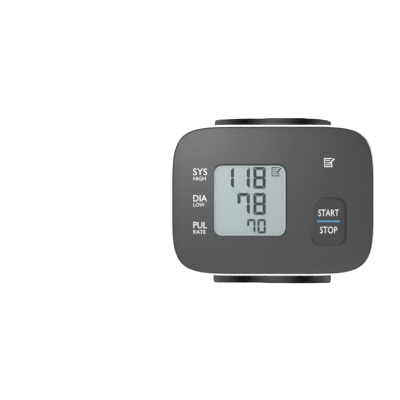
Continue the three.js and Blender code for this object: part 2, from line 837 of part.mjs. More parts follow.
function contact(side, low, high) {
  const y = [side * contactY, side * (contactY + contactThickness)].sort((a, b) => a - b);
  return block(around(cellX, contactWidth), y, [low - contactWidth / 2, high + contactWidth / 2]);
}

// Air system

const pumpX = saddleHalf + saddleWall + seatGap + Math.max(pumpHeadWidth, pumpBodyDiameter) / 2;
const motorEnd = screwColumn / 2 + pumpEndGap - backScrewY;
const headEnd = motorEnd + pumpBodyLength + seatGap; // where the pump's head begins
const pumpY = headEnd + pumpHeadLength / 2;
const pumpAxisZ = caseFloor + seatGap + pumpBodyDiameter / 2;
const pumpHeadTop = caseFloor + seatGap + pumpHeadHeight;
const pumpNozzleTop = pumpHeadTop + nozzleLength / 2;
const connectorTop = saddleRoof + connectorRise;

function pumpMotor() {
  return bar(pumpBodyDiameter, pumpX, [motorEnd, motorEnd + pumpBodyLength], pumpAxisZ);
}

function pumpHead() {
  const y = [headEnd, headEnd + pumpHeadLength];
  const body = block(around(pumpX, pumpHeadWidth), y, [caseFloor + seatGap, pumpHeadTop]);
  return join(body, bar(nozzleDiameter, pumpX, pumpY, [pumpHeadTop - past, pumpNozzleTop]));
}

function airTee() {
  const reach = teeSize / 2 + nozzleLength;
  const body = block(around(teeX, teeSize), around(0, teeSize), around(airLevel, teeHeight));
  const across = bar(nozzleDiameter, [teeX - reach, teeX + reach], 0, airLevel);
  const along = bar(nozzleDiameter, teeX, [-reach, reach], airLevel);
  return join(body, across, along);
}

function sideTube(side) {
  const y = [side * sideTubeStart, side * sideTubeEnd].sort((a, b) => a - b);
  return bar(tubeDiameter, teeX, y, airLevel);
}

// The valve and the sensor hang under the board, each with a nozzle towards the tee
function sideUnit(side, width, length) {
  const top = boardBottom - seatGap;
  const low = airLevel - (top - airLevel);
  const nozzle = [side * sideNozzleStart, side * (sideBodyStart + past)].sort((a, b) => a - b);
  const body = [side * sideBodyStart, side * (sideBodyStart + length)].sort((a, b) => a - b);
  return join(block(around(teeX, width), body, [low, top]), bar(nozzleDiameter, teeX, nozzle, airLevel));
}

// A tube that starts straight up and ends level, towards the tee
function risingTube(fromX, fromY, fromZ, side) {
  const toX = teeX + side * sideTubeStart;
  const start = new THREE.Vector3(fromX, fromY, fromZ);
  const end = new THREE.Vector3(toX, 0, airLevel);
  const upper = new THREE.Vector3(fromX, fromY, airLevel);
  const level = upper.clone().lerp(end, tubeLean);
  const path = new THREE.CubicBezierCurve3(start, upper, level, end);
  const circle = [];
  for (let i = 0; i < tubeSides; i += 1) {
    const turn = (2 * Math.PI * i) / tubeSides;
    circle.push(new THREE.Vector2(Math.cos(turn), Math.sin(turn)).multiplyScalar(tubeDiameter / 2));
  }
  const geometry = new THREE.ExtrudeGeometry(new THREE.Shape(circle), {
    steps: tubeSteps,
    extrudePath: path,
  });
  return solidOf(geometry);
}

// The connector's flange lies in the curler's hole, over the bladder
const curlerOut = cuffSkin + seatGap; // depth of the curler's outer face below the ring's surface
const curlerIn = curlerOut + curlerDepth;
const bladderOut = curlerIn + seatGap;
const bladderIn = bladderOut + bladderDepth;
const liningOut = cuffDepth - liningDepth;

function airConnector() {
  const shape = turned([
    [0, ringTop - curlerIn],
    [connectorFlange / 2, ringTop - curlerIn],
    [connectorFlange / 2, ringTop - curlerOut],
    [tubeDiameter / 2, ringTop - curlerOut],
    [tubeDiameter / 2, connectorTop],
    [0, connectorTop],
  ]);
  const bore = bar(tubeBore, 0, 0, [ringTop - curlerIn - past, connectorTop + past]);
  return cut(shape, bore);
}

function cuffRivet() {
  const headTop = ringTop - curlerIn - seatGap;
  return turned([
    [0, headTop - rivetHeadHeight],
    [rivetHead / 2, headTop - rivetHeadHeight],
    [rivetHead / 2, headTop],
    [rivetShank / 2, headTop],
    [rivetShank / 2, rivetFlareLow],
    [rivetHead / 2, rivetFlareLow],
    [rivetHead / 2, rivetFlareTop],
    [0, rivetFlareTop],
  ]);
}

// Cuff

const hingeGapAngle = angleOver(seatGap / 2, hingeAngle);
const tipGapAngle = angleOver(seatGap / 2, tipJointAngle);
const bandStart = hingeAngle + hingeGapAngle;
const skinAngle = angleOver(cuffSkin, hingeAngle);
const strapSkinAngle = angleOver(strapSkin, tipJointAngle);

// Holes at the top of the ring for the rivets and the air connector
function ringHoles(shankGrow, connectorHole) {
  const level = [ringTop - cuffDepth, ringTop + past];
  const holes = [-rivetX, rivetX].map((x) => bar(rivetShank + shankGrow, x, 0, level));
  holes.push(bar(connectorHole, connectorX, 0, level));
  return holes;
}

function cuffCover() {
  const whole = band(paddedSection(cuffWidth, cuffDepth, cuffCrown), bandStart, bandEndAngle, fixedTuck);
  const room = flatSection(cuffWidth - 2 * cuffSkin, cuffSkin, cuffDepth + past);
  const channel = band(room, bandStart + skinAngle, bandEndAngle - skinAngle, fixedTuck);
  return cut(whole, channel, ...ringHoles(2 * seatGap, tubeDiameter + 2 * seatGap));
}

const layerStart = bandStart + skinAngle + angleOver(seatGap, hingeAngle);
const layerEnd = bandEndAngle - skinAngle - angleOver(seatGap, bandEndAngle);

function cuffCurler() {
  const strip = band(flatSection(curlerWidth, curlerOut, curlerIn), layerStart, layerEnd, fixedTuck);
  return cut(strip, ...ringHoles(2 * seatGap, connectorFlange + 2 * seatGap));
}

function airBladder() {
  const half = bladderWidth / 2;
  const round = bladderDepth / 3;
  const section = [
    [-half + round, bladderOut],
    [half - round, bladderOut],
    [half, bladderOut + round],
    [half, bladderIn - round],
    [half - round, bladderIn],
    [-half + round, bladderIn],
    [-half, bladderIn - round],
    [-half, bladderOut + round],
  ];
  return band(section, layerStart, layerEnd, fixedTuck);
}

function cuffLining() {
  const width = cuffWidth - 2 * cuffSkin - 2 * seatGap;
  return band(flatSection(width, liningOut, cuffDepth), layerStart, layerEnd, fixedTuck);
}

function loopPatch() {
  const half = loopWidth / 2;
  const low = -seatGap;
  const high = -seatGap - loopDepth;
  const section = [
    [-half, low],
    [-half, high],
    [0, high - cuffCrown],
    [half, high],
    [half, low],
    [0, low - cuffCrown],
  ];
  return band(section, loopStart, loopEnd, fixedTuck);
}

function narrowing(angle) {
  return 1 - endTaper * smoothStep(tipEndAngle + endTaperAngle, tipEndAngle, angle) ** 2;
}

function strapShell(from, to, widthAt) {
  const section = paddedSection(cuffWidth, strapDepth, strapCrown);
  const whole = band(section, from, to, strapTuck, widthAt, strapStep);
  const room = flatSection(cuffWidth - 2 * strapSkin, strapSkin, strapDepth + past);
  const roomFrom = from - strapSkinAngle;
  const roomTo = to + strapSkinAngle;
  return cut(whole, band(room, roomFrom, roomTo, strapTuck, widthAt, strapStep));
}

function strapFilling(from, to, widthAt) {
  const inset = strapSkinAngle + 2 * tipGapAngle;
  const section = flatSection(cuffWidth - 2 * strapSkin - 3 * seatGap, strapSkin + seatGap, strapDepth);
  return band(section, from - inset, to + inset, strapTuck, widthAt, strapStep);
}

const strapFrom = hingeAngle - hingeGapAngle;
const strapTo = tipJointAngle + tipGapAngle;
const tipFrom = tipJointAngle - tipGapAngle;

// Colours and finishes

const greyCover = { color: 0x5a5a5a, roughness: 0.45, metalness: 0 };
const greyKey = { color: 0x4c4c4c, roughness: 0.5, metalness: 0 };
const whiteCase = { color: 0xf0f0ee, roughness: 0.45, metalness: 0 };
const clearPane = { color: 0xc8d4d6, roughness: 0.08, metalness: 0 };
const displayGlass = { color: 0xb8c4c6, roughness: 0.3, metalness: 0 };
const darkPlastic = { color: 0x2b2b2d, roughness: 0.6, metalness: 0 };
const paleRubber = { color: 0xd8d2c4, roughness: 0.8, metalness: 0 };
const boardGreen = { color: 0x1f5a35, roughness: 0.5, metalness: 0 };
const steel = { color: 0xb4b7ba, roughness: 0.3, metalness: 1 };
const nickel = { color: 0xc9c6bc, roughness: 0.35, metalness: 1 };
const cellJacket = { color: 0x3c4a57, roughness: 0.35, metalness: 0.4 };
const clearTube = { color: 0xdedcd2, roughness: 0.4, metalness: 0 };
const blackCloth = { color: 0x1c1c1d, roughness: 0.95, metalness: 0 };
const greyLining = { color: 0x3a3b3e, roughness: 0.95, metalness: 0 };
const curlerPlastic = { color: 0xd9dadb, roughness: 0.5, metalness: 0 };

// Assembly

const monitor = new THREE.Group();
const caseGroup = new THREE.Group();
const airGroup = new THREE.Group();
const cuffGroup = new THREE.Group();
monitor.add(caseGroup, airGroup, cuffGroup);

function addPiece(group, name, solid, look) {
  const mesh = new THREE.Mesh(geometryOf(solid), new THREE.MeshStandardMaterial(look));
  mesh.name = name;
  group.add(mesh);
  return mesh;
}

addPiece(caseGroup, 'front_cover', frontCover(), greyCover);
addPiece(caseGroup, 'rear_case', rearCase(), whiteCase);
addPiece(caseGroup, 'battery_cover', batteryCover(), whiteCase);
addPiece(caseGroup, 'display_window', displayWindow(), clearPane);
addPiece(caseGroup, 'lcd_panel', lcdPanel(), displayGlass);
addPiece(caseGroup, 'lcd_holder', lcdHolder(), darkPlastic);
addPiece(caseGroup, 'contact_strip_upper', contactStrip(1), paleRubber);
addPiece(caseGroup, 'contact_strip_lower', contactStrip(-1), paleRubber);
addPiece(caseGroup, 'main_board', mainBoard(), boardGreen);
addPiece(caseGroup, 'processor_chip', processorChip(), darkPlastic);
addPiece(caseGroup, 'start_button', startButton(), greyKey);
addPiece(caseGroup, 'memory_button', memoryButton(), greyCover);
addPiece(caseGroup, 'start_switch_base', switchBase(startX, startY), darkPlastic);
addPiece(caseGroup, 'start_switch_plunger', switchPlunger(startX, startY), paleRubber);
addPiece(caseGroup, 'memory_switch_base', switchBase(memoryX, memoryY), darkPlastic);
addPiece(caseGroup, 'memory_switch_plunger', switchPlunger(memoryX, memoryY), paleRubber);

for (const [place, [x, y, seat]] of Object.entries(screwPlaces)) {
  const under = seat - seatGap;
  const length = lipBottom + caseScrewBite - under;
  const solid = screw(caseScrewHead, caseScrewHeadHeight, caseScrewShank, length);
  const mesh = addPiece(caseGroup, `case_screw_${place}`, solid, steel);
  mesh.position.set(x, y, under);
}

boardScrewPlaces.forEach(([x, y], number) => {
  const under = boardBottom - seatGap;
  const length = boardTop + boardScrewBite - under;
  const solid = screw(boardScrewHead, boardScrewHeadHeight, boardScrewShank, length);
  const mesh = addPiece(caseGroup, `board_screw_${number + 1}`, solid, steel);
  mesh.position.set(x, y, under);
});

const lowerCell = addPiece(caseGroup, 'battery_cell_lower', cell(), cellJacket);
lowerCell.rotation.x = -Math.PI / 2;
lowerCell.position.set(cellX, 0, lowerCellZ);
const upperCell = addPiece(caseGroup, 'battery_cell_upper', cell(), cellJacket);
upperCell.rotation.x = Math.PI / 2;
upperCell.position.set(cellX, 0, upperCellZ);
addPiece(caseGroup, 'battery_contact_bridge', contact(-1, lowerCellZ, upperCellZ), nickel);
addPiece(caseGroup, 'battery_contact_lower', contact(1, lowerCellZ, lowerCellZ), nickel);
addPiece(caseGroup, 'battery_contact_upper', contact(1, upperCellZ, upperCellZ), nickel);

addPiece(airGroup, 'pump_motor', pumpMotor(), steel);
addPiece(airGroup, 'pump_head', pumpHead(), darkPlastic);
addPiece(airGroup, 'air_tee', airTee(), darkPlastic);
addPiece(airGroup, 'exhaust_valve', sideUnit(-1, valveWidth, valveLength), nickel);
addPiece(airGroup, 'pressure_sensor', sideUnit(1, sensorSize, sensorSize), darkPlastic);
addPiece(airGroup, 'valve_tube', sideTube(-1), clearTube);
addPiece(airGroup, 'sensor_tube', sideTube(1), clearTube);
addPiece(airGroup, 'pump_tube', risingTube(pumpX, pumpY, pumpNozzleTop + seatGap, 1), clearTube);
addPiece(airGroup, 'cuff_tube', risingTube(connectorX, 0, connectorTop + seatGap, -1), clearTube);
const connector = addPiece(airGroup, 'air_connector', airConnector(), darkPlastic);
connector.position.x = connectorX;

[-rivetX, rivetX].forEach((x) => {
  const side = x < 0 ? 'left' : 'right';
  const rivet = addPiece(cuffGroup, `cuff_rivet_${side}`, cuffRivet(), nickel);
  rivet.position.x = x;
});
addPiece(cuffGroup, 'cuff_cover', cuffCover(), blackCloth);
addPiece(cuffGroup, 'cuff_curler', cuffCurler(), curlerPlastic);
addPiece(cuffGroup, 'air_bladder', airBladder(), greyLining);
addPiece(cuffGroup, 'cuff_lining', cuffLining(), greyLining);
addPiece(cuffGroup, 'loop_patch', loopPatch(), blackCloth);
addPiece(cuffGroup, 'strap_cover', strapShell(strapFrom, strapTo), blackCloth);
addPiece(cuffGroup, 'strap_pad', strapFilling(strapFrom, strapTo), greyLining);
addPiece(cuffGroup, 'strap_tip_cover', strapShell(tipFrom, tipEndAngle, narrowing), blackCloth);
addPiece(cuffGroup, 'hook_patch', strapFilling(tipFrom, tipEndAngle, narrowing), blackCloth);

export default monitor;
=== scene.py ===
import bisect
import json
import math

import bmesh
import bpy
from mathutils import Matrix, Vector, noise


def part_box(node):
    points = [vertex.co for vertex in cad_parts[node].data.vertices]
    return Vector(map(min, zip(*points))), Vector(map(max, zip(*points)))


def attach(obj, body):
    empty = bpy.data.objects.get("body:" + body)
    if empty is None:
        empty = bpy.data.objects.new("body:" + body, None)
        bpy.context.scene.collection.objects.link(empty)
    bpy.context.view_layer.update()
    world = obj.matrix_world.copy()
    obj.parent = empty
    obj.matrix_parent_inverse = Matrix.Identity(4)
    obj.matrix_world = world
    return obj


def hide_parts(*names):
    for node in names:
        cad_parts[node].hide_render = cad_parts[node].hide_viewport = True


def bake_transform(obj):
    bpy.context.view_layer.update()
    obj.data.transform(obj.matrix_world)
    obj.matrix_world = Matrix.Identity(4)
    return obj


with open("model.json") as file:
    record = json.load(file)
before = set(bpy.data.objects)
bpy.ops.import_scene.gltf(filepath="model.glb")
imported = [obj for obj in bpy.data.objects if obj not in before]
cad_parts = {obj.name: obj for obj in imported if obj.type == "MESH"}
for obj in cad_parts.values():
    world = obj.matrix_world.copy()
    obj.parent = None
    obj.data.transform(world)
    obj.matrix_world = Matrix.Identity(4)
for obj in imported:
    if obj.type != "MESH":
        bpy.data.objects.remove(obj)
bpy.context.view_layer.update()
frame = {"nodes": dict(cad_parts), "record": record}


def middle_of(low, high):
    """Middle of a box's plan."""
    return ((low[0] + high[0]) / 2, (low[1] + high[1]) / 2)


def size_of(low, high):
    """Width and height of a box's plan."""
    return (high[0] - low[0], high[1] - low[1])


# Sizes are in metres. MM turns millimetres into metres.
MM = 0.001
SEAT_GAP = 0.3 * MM  # between a piece and what it seats on
LAYER_GAP = 0.02 * MM  # between stacked layers
PAST = 1.0 * MM  # how far a cutting shape runs past what it cuts

# Places that the frame gives
cover_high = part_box("front_cover")[1]
rear_low, rear_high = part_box("rear_case")
door_low, door_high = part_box("battery_cover")
pane_low, pane_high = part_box("display_window")
panel_low, panel_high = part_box("lcd_panel")
start_low, start_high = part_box("start_button")
memory_low, memory_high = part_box("memory_button")
lower_low, lower_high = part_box("battery_cell_lower")
upper_low, upper_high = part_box("battery_cell_upper")
bridge_low, bridge_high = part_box("battery_contact_bridge")
SCREW_NODES = [name for name in frame["nodes"] if name.startswith("case_screw")]

# How finely shapes are stepped
OUTLINE_POINTS = 192
ROUND_SIDES = 40
ROUND_STEPS = 8
CORNER_STEPS = 10
DOME_STEPS = 14
SHARP_ANGLE = 35  # degrees from which an edge stays sharp
CLOTH_ANGLE = 60  # the same for cloth
HALVINGS = 30  # how often a search halves its range
CORNERS = ((1, 1), (-1, 1), (-1, -1), (1, -1))

# The case
SIDE_POWER = 6.6  # powers of the outline, a superellipse: of its left and right sides
END_POWER = 4.7  # and of its top and bottom
CASE_WALL = 1.8 * MM
FACE_DOME = 0.65 * MM  # the face's rise from its rounded edge to its middle
EDGE_ROUND = 0.65 * MM  # width of the face's rounded edge
EDGE_DROP = 0.85 * MM  # and its height
DOME_FLAT = 1.0 * MM  # half the Y size of the flat in the dome's middle
SEAM_ROUND = 0.3 * MM  # smallest rounding of the pane, the panel and the start key
PARTING_ROUND = 0.12 * MM  # rounding along the parting line
BACK_FLOOR = 2.2 * MM
BACK_ROUND = 2.0 * MM
BACK_DRAFT = 1.0 * MM  # how far the case's sides draw in towards its back
COVER_HALF = (cover_high.x, cover_high.y)
REAR_HALF = (rear_high.x, rear_high.y)
DOME_REACH = COVER_HALF[1] - DOME_FLAT - EDGE_ROUND  # from the rounded edge to the flat
FACE_TOP = cover_high.z
FACE_EDGE = FACE_TOP - FACE_DOME
COVER_BOTTOM = rear_high.z + SEAT_GAP
COVER_CEILING = FACE_EDGE - CASE_WALL
HOLE_BOTTOM = COVER_CEILING - PAST
CASE_BACK = rear_low.z
CASE_FLOOR = CASE_BACK + BACK_FLOOR
LIP_GAP = 0.25 * MM  # between the case's wall and the lip inside it
LIP_WALL = 1.25 * MM
LIP_BELOW = 1.85 * MM  # its reach on both sides of the parting line
LIP_ABOVE = 1.75 * MM
LIP_BOTTOM = COVER_BOTTOM - LIP_BELOW
LIP_TOP = COVER_BOTTOM + LIP_ABOVE

# The display. A plan is a size, a corner radius and a centre.
WINDOW_ROUND = 3.3 * MM
WINDOW_EDGE = 0.15 * MM  # rounding of the opening's edge
WINDOW_SHIFT = 0.05 * MM  # from the pane's centre, right and up
PANE_CENTRE = middle_of(pane_low, pane_high)
PANE = (size_of(pane_low, pane_high), WINDOW_ROUND + SEAT_GAP, PANE_CENTRE)
WINDOW = ((29.9 * MM, 29.3 * MM), WINDOW_ROUND, [at + WINDOW_SHIFT for at in PANE_CENTRE])
PANE_THICK = 0.4 * MM
GLASS_SIZE = (30.6 * MM, 30.6 * MM)  # the panel's upper glass, close under the pane
GLASS_GAP = 0.1 * MM
GLASS_TOP = pane_high.z - PANE_THICK - GLASS_GAP
RIM_SHIFT = -0.15 * MM  # the seal's shift from the pane's centre, left and down, which bares the painted shadow line at the top and right
RIM = ((29.26 * MM, 28.66 * MM), 3.2 * MM, [at + RIM_SHIFT for at in PANE_CENTRE])
RIM_TOP = 0.45 * MM  # the seal's height above the pane
RIM_FLAT = 0.04 * MM  # width of its top
RIM_COVE = 0.5 * MM  # width of its hollow slope
RIM_FOOT = 0.04 * MM  # height of the slope's foot above the pane
SHADOW_LINE_GAP = 0.01 * MM  # round the painted shadow line between seal and opening
INK_LIFT = 0.04 * MM  # height of what is printed

# The keys
START_SIZE = (15.0 * MM, 20.3 * MM)
START_ROUND = 4.6 * MM
START_EDGE = 1.2 * MM
START_SINK = 0.18 * MM  # how far the cap's top lies below the solid's
START_DOME = 0.03 * MM
START_STEPS = 4
START_CENTRE = middle_of(start_low, start_high)
START = (START_SIZE, START_ROUND, START_CENTRE)
START_GAP = 0.008 * MM
START_FLAT = start_high.z - START_SINK - START_DOME
START_REACH = START_SIZE[0] / 2 - START_EDGE - 2 * SEAM_ROUND  # from its rounded edge to its middle
HOLE_EDGE = 0.01 * MM  # rounding of the start key's hole
MEMORY = ((9.6 * MM, 8.0 * MM), 2.4 * MM, middle_of(memory_low, memory_high))
MEMORY_GAP = 0.03 * MM
KEY_REACH = 1.3 * MM  # how far both keys reach below the cover's ceiling
KEY_BOTTOM = COVER_CEILING - KEY_REACH

# The battery pocket and its cover
POCKET_OUTER = lower_low.x - SEAT_GAP
POCKET_INNER = lower_high.x + SEAT_GAP
POCKET_END = max(abs(bridge_low.y), abs(bridge_high.y)) + SEAT_GAP
POCKET_TOP = upper_high.z + SEAT_GAP
POCKET_WALL = 1.2 * MM
DIVIDER_WALL = 1.6 * MM
WALL_TOP = LIP_BOTTOM - SEAT_GAP
COLUMN_RADIUS = 3.8 * MM
SHANK_HOLE = 1.5 * MM
DOOR_ROUND = 1.6 * MM
DOOR_GAP = SEAT_GAP / 2  # how much larger the door's opening is than its solid
DOOR_TRIM = SEAT_GAP / 6  # and how much smaller the door is
GROOVE_COUNT = 5
GROOVE_START = 10.0 * MM
GROOVE_PITCH = 2.2 * MM
GROOVE_RADIUS = 0.5 * MM
GROOVE_MARGIN = 4.0 * MM
GROOVE_SIDES = 16
GROOVE_TIP = 0.2  # share of its radius at a groove's ends

# The cells and the screws
CELL_ROUND = 0.4 * MM
CELL_BASE = 0.6  # share of the can's radius at its base
NUB_HEIGHT = 0.9 * MM
NUB_RADIUS = 1.9 * MM
SLEEVE_THICK = 0.12 * MM
SLEEVE_LIP = 0.75  # share of the cell's radius at the sleeve's ends
SLEEVE_END = 0.1 * MM
SLEEVE_GAP = 0.01 * MM
HEAD_HEIGHT = 1.5 * MM
HEAD_DOME = ((0.55, 0.0), (0.85, 0.15 * MM), (1.0, 0.5 * MM))  # shares of its radius, and heights
SCREW_SHANK = 1.2 * MM
SLOT_WIDTH = 0.75 * MM
SLOT_LENGTH = 2.7 * MM
SLOT_DEPTH = 0.8 * MM

# The cuff's oval, seen along X
OVAL_HALF_Y = 34.8 * MM
OVAL_HALF_Z = 27.0 * MM
OVAL_POWER = 2.7
OVAL_STEP = 3  # degrees between its points
CUFF_CROWN = 0.35 * MM
FOOT_CUT = 0.5 * MM  # cut off its underside, so that it stands
OVAL_MIDDLE = OVAL_HALF_Z + CUFF_CROWN - FOOT_CUT
ARC_START = -60  # degrees from which lengths are measured
ARC_SPAN = 430
ARC_STEP = 0.5

# The fixed band and the strap: angles are in degrees, anticlockwise from the oval's upper end
CUFF_WIDTH = 49.0 * MM
CUFF_DEPTH = 5.0 * MM
CUFF_EDGE = 0.6 * MM
BAND_SPREAD = 0.2 * MM  # the fixed band is this much wider on each side, and as far to the left
CLOTH_WIDTH = CUFF_WIDTH + 2 * BAND_SPREAD
LINING_WIDTH = 46.4 * MM
LINING_TOP = 4.2 * MM
HINGE_ANGLE = 27.0
HINGE_GAP = 0.3  # between the hinge's line and the cloth on each side
BAND_START = HINGE_ANGLE + HINGE_GAP
BAND_END = 345.0
STITCHES_FROM = 146.0  # where it comes out from under the case
TUCK_START = 264.0
TUCK_END = 320.0
TUCK_DEPTH = 4.85 * MM
LOOP_START = 308.0
LOOP_END = 343.0
LOOP_WIDTH = 42.0 * MM
LOOP_LOW = 0.3 * MM
LOOP_HIGH = 0.6 * MM
LOOP_SOFT = 0.3 * MM
BAND_SOFT = 1.8 * MM  # length over which its ends thin out
STRAP_START = HINGE_ANGLE - HINGE_GAP
STRAP_ASIDE = 0.15 * MM  # to the right
STRAP_INSET = 0.6 * MM
STRAP_DEPTH = 2.8 * MM
STRAP_EDGE = 0.7 * MM
STRAP_SOFT = 0.7 * MM
COVER_DEPTH = 1.4 * MM
PAD_TOP = COVER_DEPTH + LAYER_GAP
PAD_WIDTH = 46.5 * MM
TIP_ANGLE = -11.0
TIP_END = -42.0
TAPER_START = -28.0
TAPER = 0.2  # share of its width that the tip loses
END_ROUND = 7.0 * MM  # rounding of the tip's corners
JOINT_REACH = 5.5  # of the cloth over the hinge, to both sides of its line
JOINT_HALF = 24.3 * MM
JOINT_PROUD = 0.18 * MM
JOINT_BED = 0.5 * MM

# The cloth's outside
CUFF_SWELL = 0.33 * MM  # low crown of the fixed band's cloth
SWELL_POWER = 12  # how flat it is
SEAM_X = -3.0 * MM  # a seam runs along the whole cuff, left of its middle
SEAM_SPAN = 0.35 * MM
SEAM_STEP = 0.22 * MM  # the cloth right of it stands this much higher
STRAP_LEFT = -0.1 * MM  # the strap's outside above its edges: at its left side
STRAP_SEAM = 0.6 * MM  # just left of the seam
STRAP_CROWN = 0.87 * MM  # at its crest
CREST_X = 11.5 * MM  # where that crest lies across it
STRAP_LEAN = 0.1 * MM  # the crest's height above the seam's right side
FOLD_X = 13.7 * MM  # a fold beyond the crest
FOLD_STEP = 0.27 * MM
STRAP_FALL = 1.45 * MM  # how far it falls away to its right side
FALL_POWER = 4  # how late both falls come
WRINKLE = 0.07 * MM
WRINKLE_ACROSS = 60.0  # steps of noise in a metre
WRINKLE_ALONG = 200.0
THINNEST = 0.02  # squared share of a band's thickness at its ends
EDGE_LIMIT = 0.48  # largest rounding, as a share of the thickness
ACROSS_STEPS = 32
PAD_STEPS = 5
MARK_STEP = 0.8 * MM
MARK_DIGITS = 6  # decimals that tell marks apart
END_MARKS = [mark * MM for mark in (0.0, 0.12, 0.3, 0.55, 0.85, 1.2, 1.6, 2.0)]
END_ROUND_STEPS = 24
RIM_STEPS = 20

# Binding tape round the cloth's edges, and its stitches
TAPE_WIDTH = 2.4 * MM
TAPE_THICK = 0.12 * MM
TAPE_BED = 0.1 * MM
TAPE_STEPS = 4
STITCH_MARGIN = 0.8 * MM  # from the stitches to the tape's inner edge
STITCH_IN = TAPE_WIDTH - STITCH_MARGIN  # and to the cloth's edge
STITCH_LENGTH = 1.5 * MM
STITCH_PITCH = 2.3 * MM
STITCH_THICK = 0.17 * MM
STITCH_SIDES = 6
STITCH_SHARES = (-1.0, -0.75, 0.75, 1.0)  # places of its sections along its half length
STITCH_BLUNT = 1.05  # a little over 1 keeps its ends blunt

# The case's saddle over the cuff
SADDLE_ROOM = 0.6 * MM  # beside the cuff
SADDLE_HALF = CUFF_WIDTH / 2 + SADDLE_ROOM
SADDLE_GROW = CUFF_CROWN + SEAT_GAP
SADDLE_WALL = 1.6 * MM

# The photograph's frame: 400 pixels square, the face seen straight from above
PHOTO_SIZE = 400
PHOTO_SCALE = 2.4454 / MM  # pixels for each metre on the face
FACE_PIXEL = (272.61, 200.26)  # where the face's middle lies in it
CAMERA_RISE = 1.2  # above the face
SENSOR = 36.0  # in millimetres
FAR_CLIP = 50.0


# Numbers

def limited(value, low=0.0, high=1.0):
    return min(max(value, low), high)


def ease(value, low, high):
    """0 up to low, 1 from high, smooth between them."""
    share = limited((value - low) / (high - low))
    return share * share * (3 - 2 * share)


def crown(low, rise, share):
    """Height of a crowned top, from its edge at 0 to its middle at 1."""
    return low + rise * (1 - (1 - share) ** 2)


def grown(size, grow):
    """A size with a margin all round."""
    return (size[0] + 2 * grow, size[1] + 2 * grow)


def arc(steps, first=0.0, span=math.pi / 2):
    """Cosines and sines at equal steps of a turn."""
    turns = [first + span * step / steps for step in range(steps + 1)]
    return [(math.cos(turn), math.sin(turn)) for turn in turns]


def circle(sides):
    return arc(sides, span=2 * math.pi)[:-1]


def shares(steps, first=0):
    return [step / steps for step in range(first, steps + 1)]


def round_over(width, low, high):
    """Steps of a rounded edge: how far it has drawn in, and its height."""
    return [(width * (1 - along), low + (high - low) * up) for along, up in arc(ROUND_STEPS)]


# Meshes

def new_object(name, data):
    made = bpy.data.objects.new(name, data)
    bpy.context.scene.collection.objects.link(made)
    return made


def mesh_object(name, vertices, faces):
    """A new object whose faces look outwards."""
    mesh = bpy.data.meshes.new(name)
    mesh.from_pydata(vertices, [], faces)
    work = bmesh.new()
    work.from_mesh(mesh)
    bmesh.ops.recalc_face_normals(work, faces=work.faces)
    work.to_mesh(mesh)
    work.free()
    return new_object(name, mesh)


def solids(name, stacks, looped=False):
    """Closed solids through rings of points; looped joins the last ring to the first."""
    vertices = []
    faces = []
    for rings in stacks:
        count = len(rings[0])
        starts = [len(vertices) + level * count for level in range(len(rings))]
        vertices += [point for ring in rings for point in ring]
        ends = starts[1:] + starts[:1] if looped else starts[1:]
        for low, high in zip(starts, ends):
            for i in range(count):
                j = (i + 1) % count
                faces.append((low + i, low + j, high + j, high + i))
        if not looped:
            faces += [tuple(range(start, start + count)) for start in (starts[0], starts[-1])]
    return mesh_object(name, vertices, faces)


def skin(name, rings, looped=False):
    """One closed solid through rings."""
    return solids(name, [rings], looped)


def final_mesh(made):
    """A mesh of what an object's modifiers make."""
    bpy.context.view_layer.update()
    depsgraph = bpy.context.evaluated_depsgraph_get()
    return bpy.data.meshes.new_from_object(made.evaluated_get(depsgraph))


def carve(body, *tools, operation="DIFFERENCE"):
    """Cut a body with tools, or intersect it with them, and remove the tools."""
    for tool in tools:
        step = body.modifiers.new("carve", "BOOLEAN")
        step.object = tool
        step.operation = operation
        step.solver = "EXACT"
    mesh = final_mesh(body)
    body.modifiers.clear()
    old = body.data
    body.data = mesh
    bpy.data.meshes.remove(old)
    for tool in tools:
        bpy.data.objects.remove(tool)


def smooth(made, degrees=SHARP_ANGLE):
    """Smooth shading, with sharp edges above an angle."""
    made.data.shade_smooth()
    made.data.set_sharp_from_angle(angle=math.radians(degrees))
    return made


def place(made, slot, body="case", replaced=(), look=None):
    """Give a piece the look of its slot or the look given, attach it to its body, and hide the CAD nodes
    that it replaces.
    """
    made.data.materials.clear()
    made.data.materials.append(looks[look or slot])
    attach(made, body)
    if replaced:
        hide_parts(*replaced)
    return made


def case_solid(name, half, levels, looped=False):
    """A solid with the case's outline; each level is an inset and a height."""
    rings = []
    for inset, z in levels:
        ring = []
        for along, across in circle(OUTLINE_POINTS):
            x = math.copysign((half[0] - inset) * abs(along) ** (2 / SIDE_POWER), along)
            y = math.copysign((half[1] - inset) * abs(across) ** (2 / END_POWER), across)
            ring.append((x, y, z))
        rings.append(ring)
    return skin(name, rings, looped)


def rounded(size, radius, centre, z=0.0):
    """A rounded rectangle at one level."""
    ring = []
    for corner, (side_x, side_y) in enumerate(CORNERS):
        middle_x = centre[0] + side_x * (size[0] / 2 - radius)
        middle_y = centre[1] + side_y * (size[1] / 2 - radius)
        for along, up in arc(CORNER_STEPS, corner * math.pi / 2):
            ring.append((middle_x + radius * along, middle_y + radius * up, z))
    return ring


def widened(plan, grow):
    size, radius, centre = plan
    return grown(size, grow), radius + grow, centre


def stack(name, plan, levels, looped=False):
    """A solid on a plan; each level is how far the plan grows, and a height."""
    return skin(name, [rounded(*widened(plan, grow), z) for grow, z in levels], looped)


def prism(name, plan, low, high):
    return stack(name, plan, [(0.0, low), (0.0, high)])


def block(name, low, high):
    """A cutting block between two corners."""
    plan = [(high[0], high[1]), (low[0], high[1]), (low[0], low[1]), (high[0], low[1])]
    return skin(name, [[(x, y, z) for x, y in plan] for z in (low[2], high[2])])


def lathe(name, profile, spot, sides=ROUND_SIDES, looped=False):
    """A turned solid; spot places two offsets from its axis and a length along it."""
    rings = [[spot(radius * a, radius * b, z) for a, b in circle(sides)] for radius, z in profile]
    return skin(name, rings, looped)


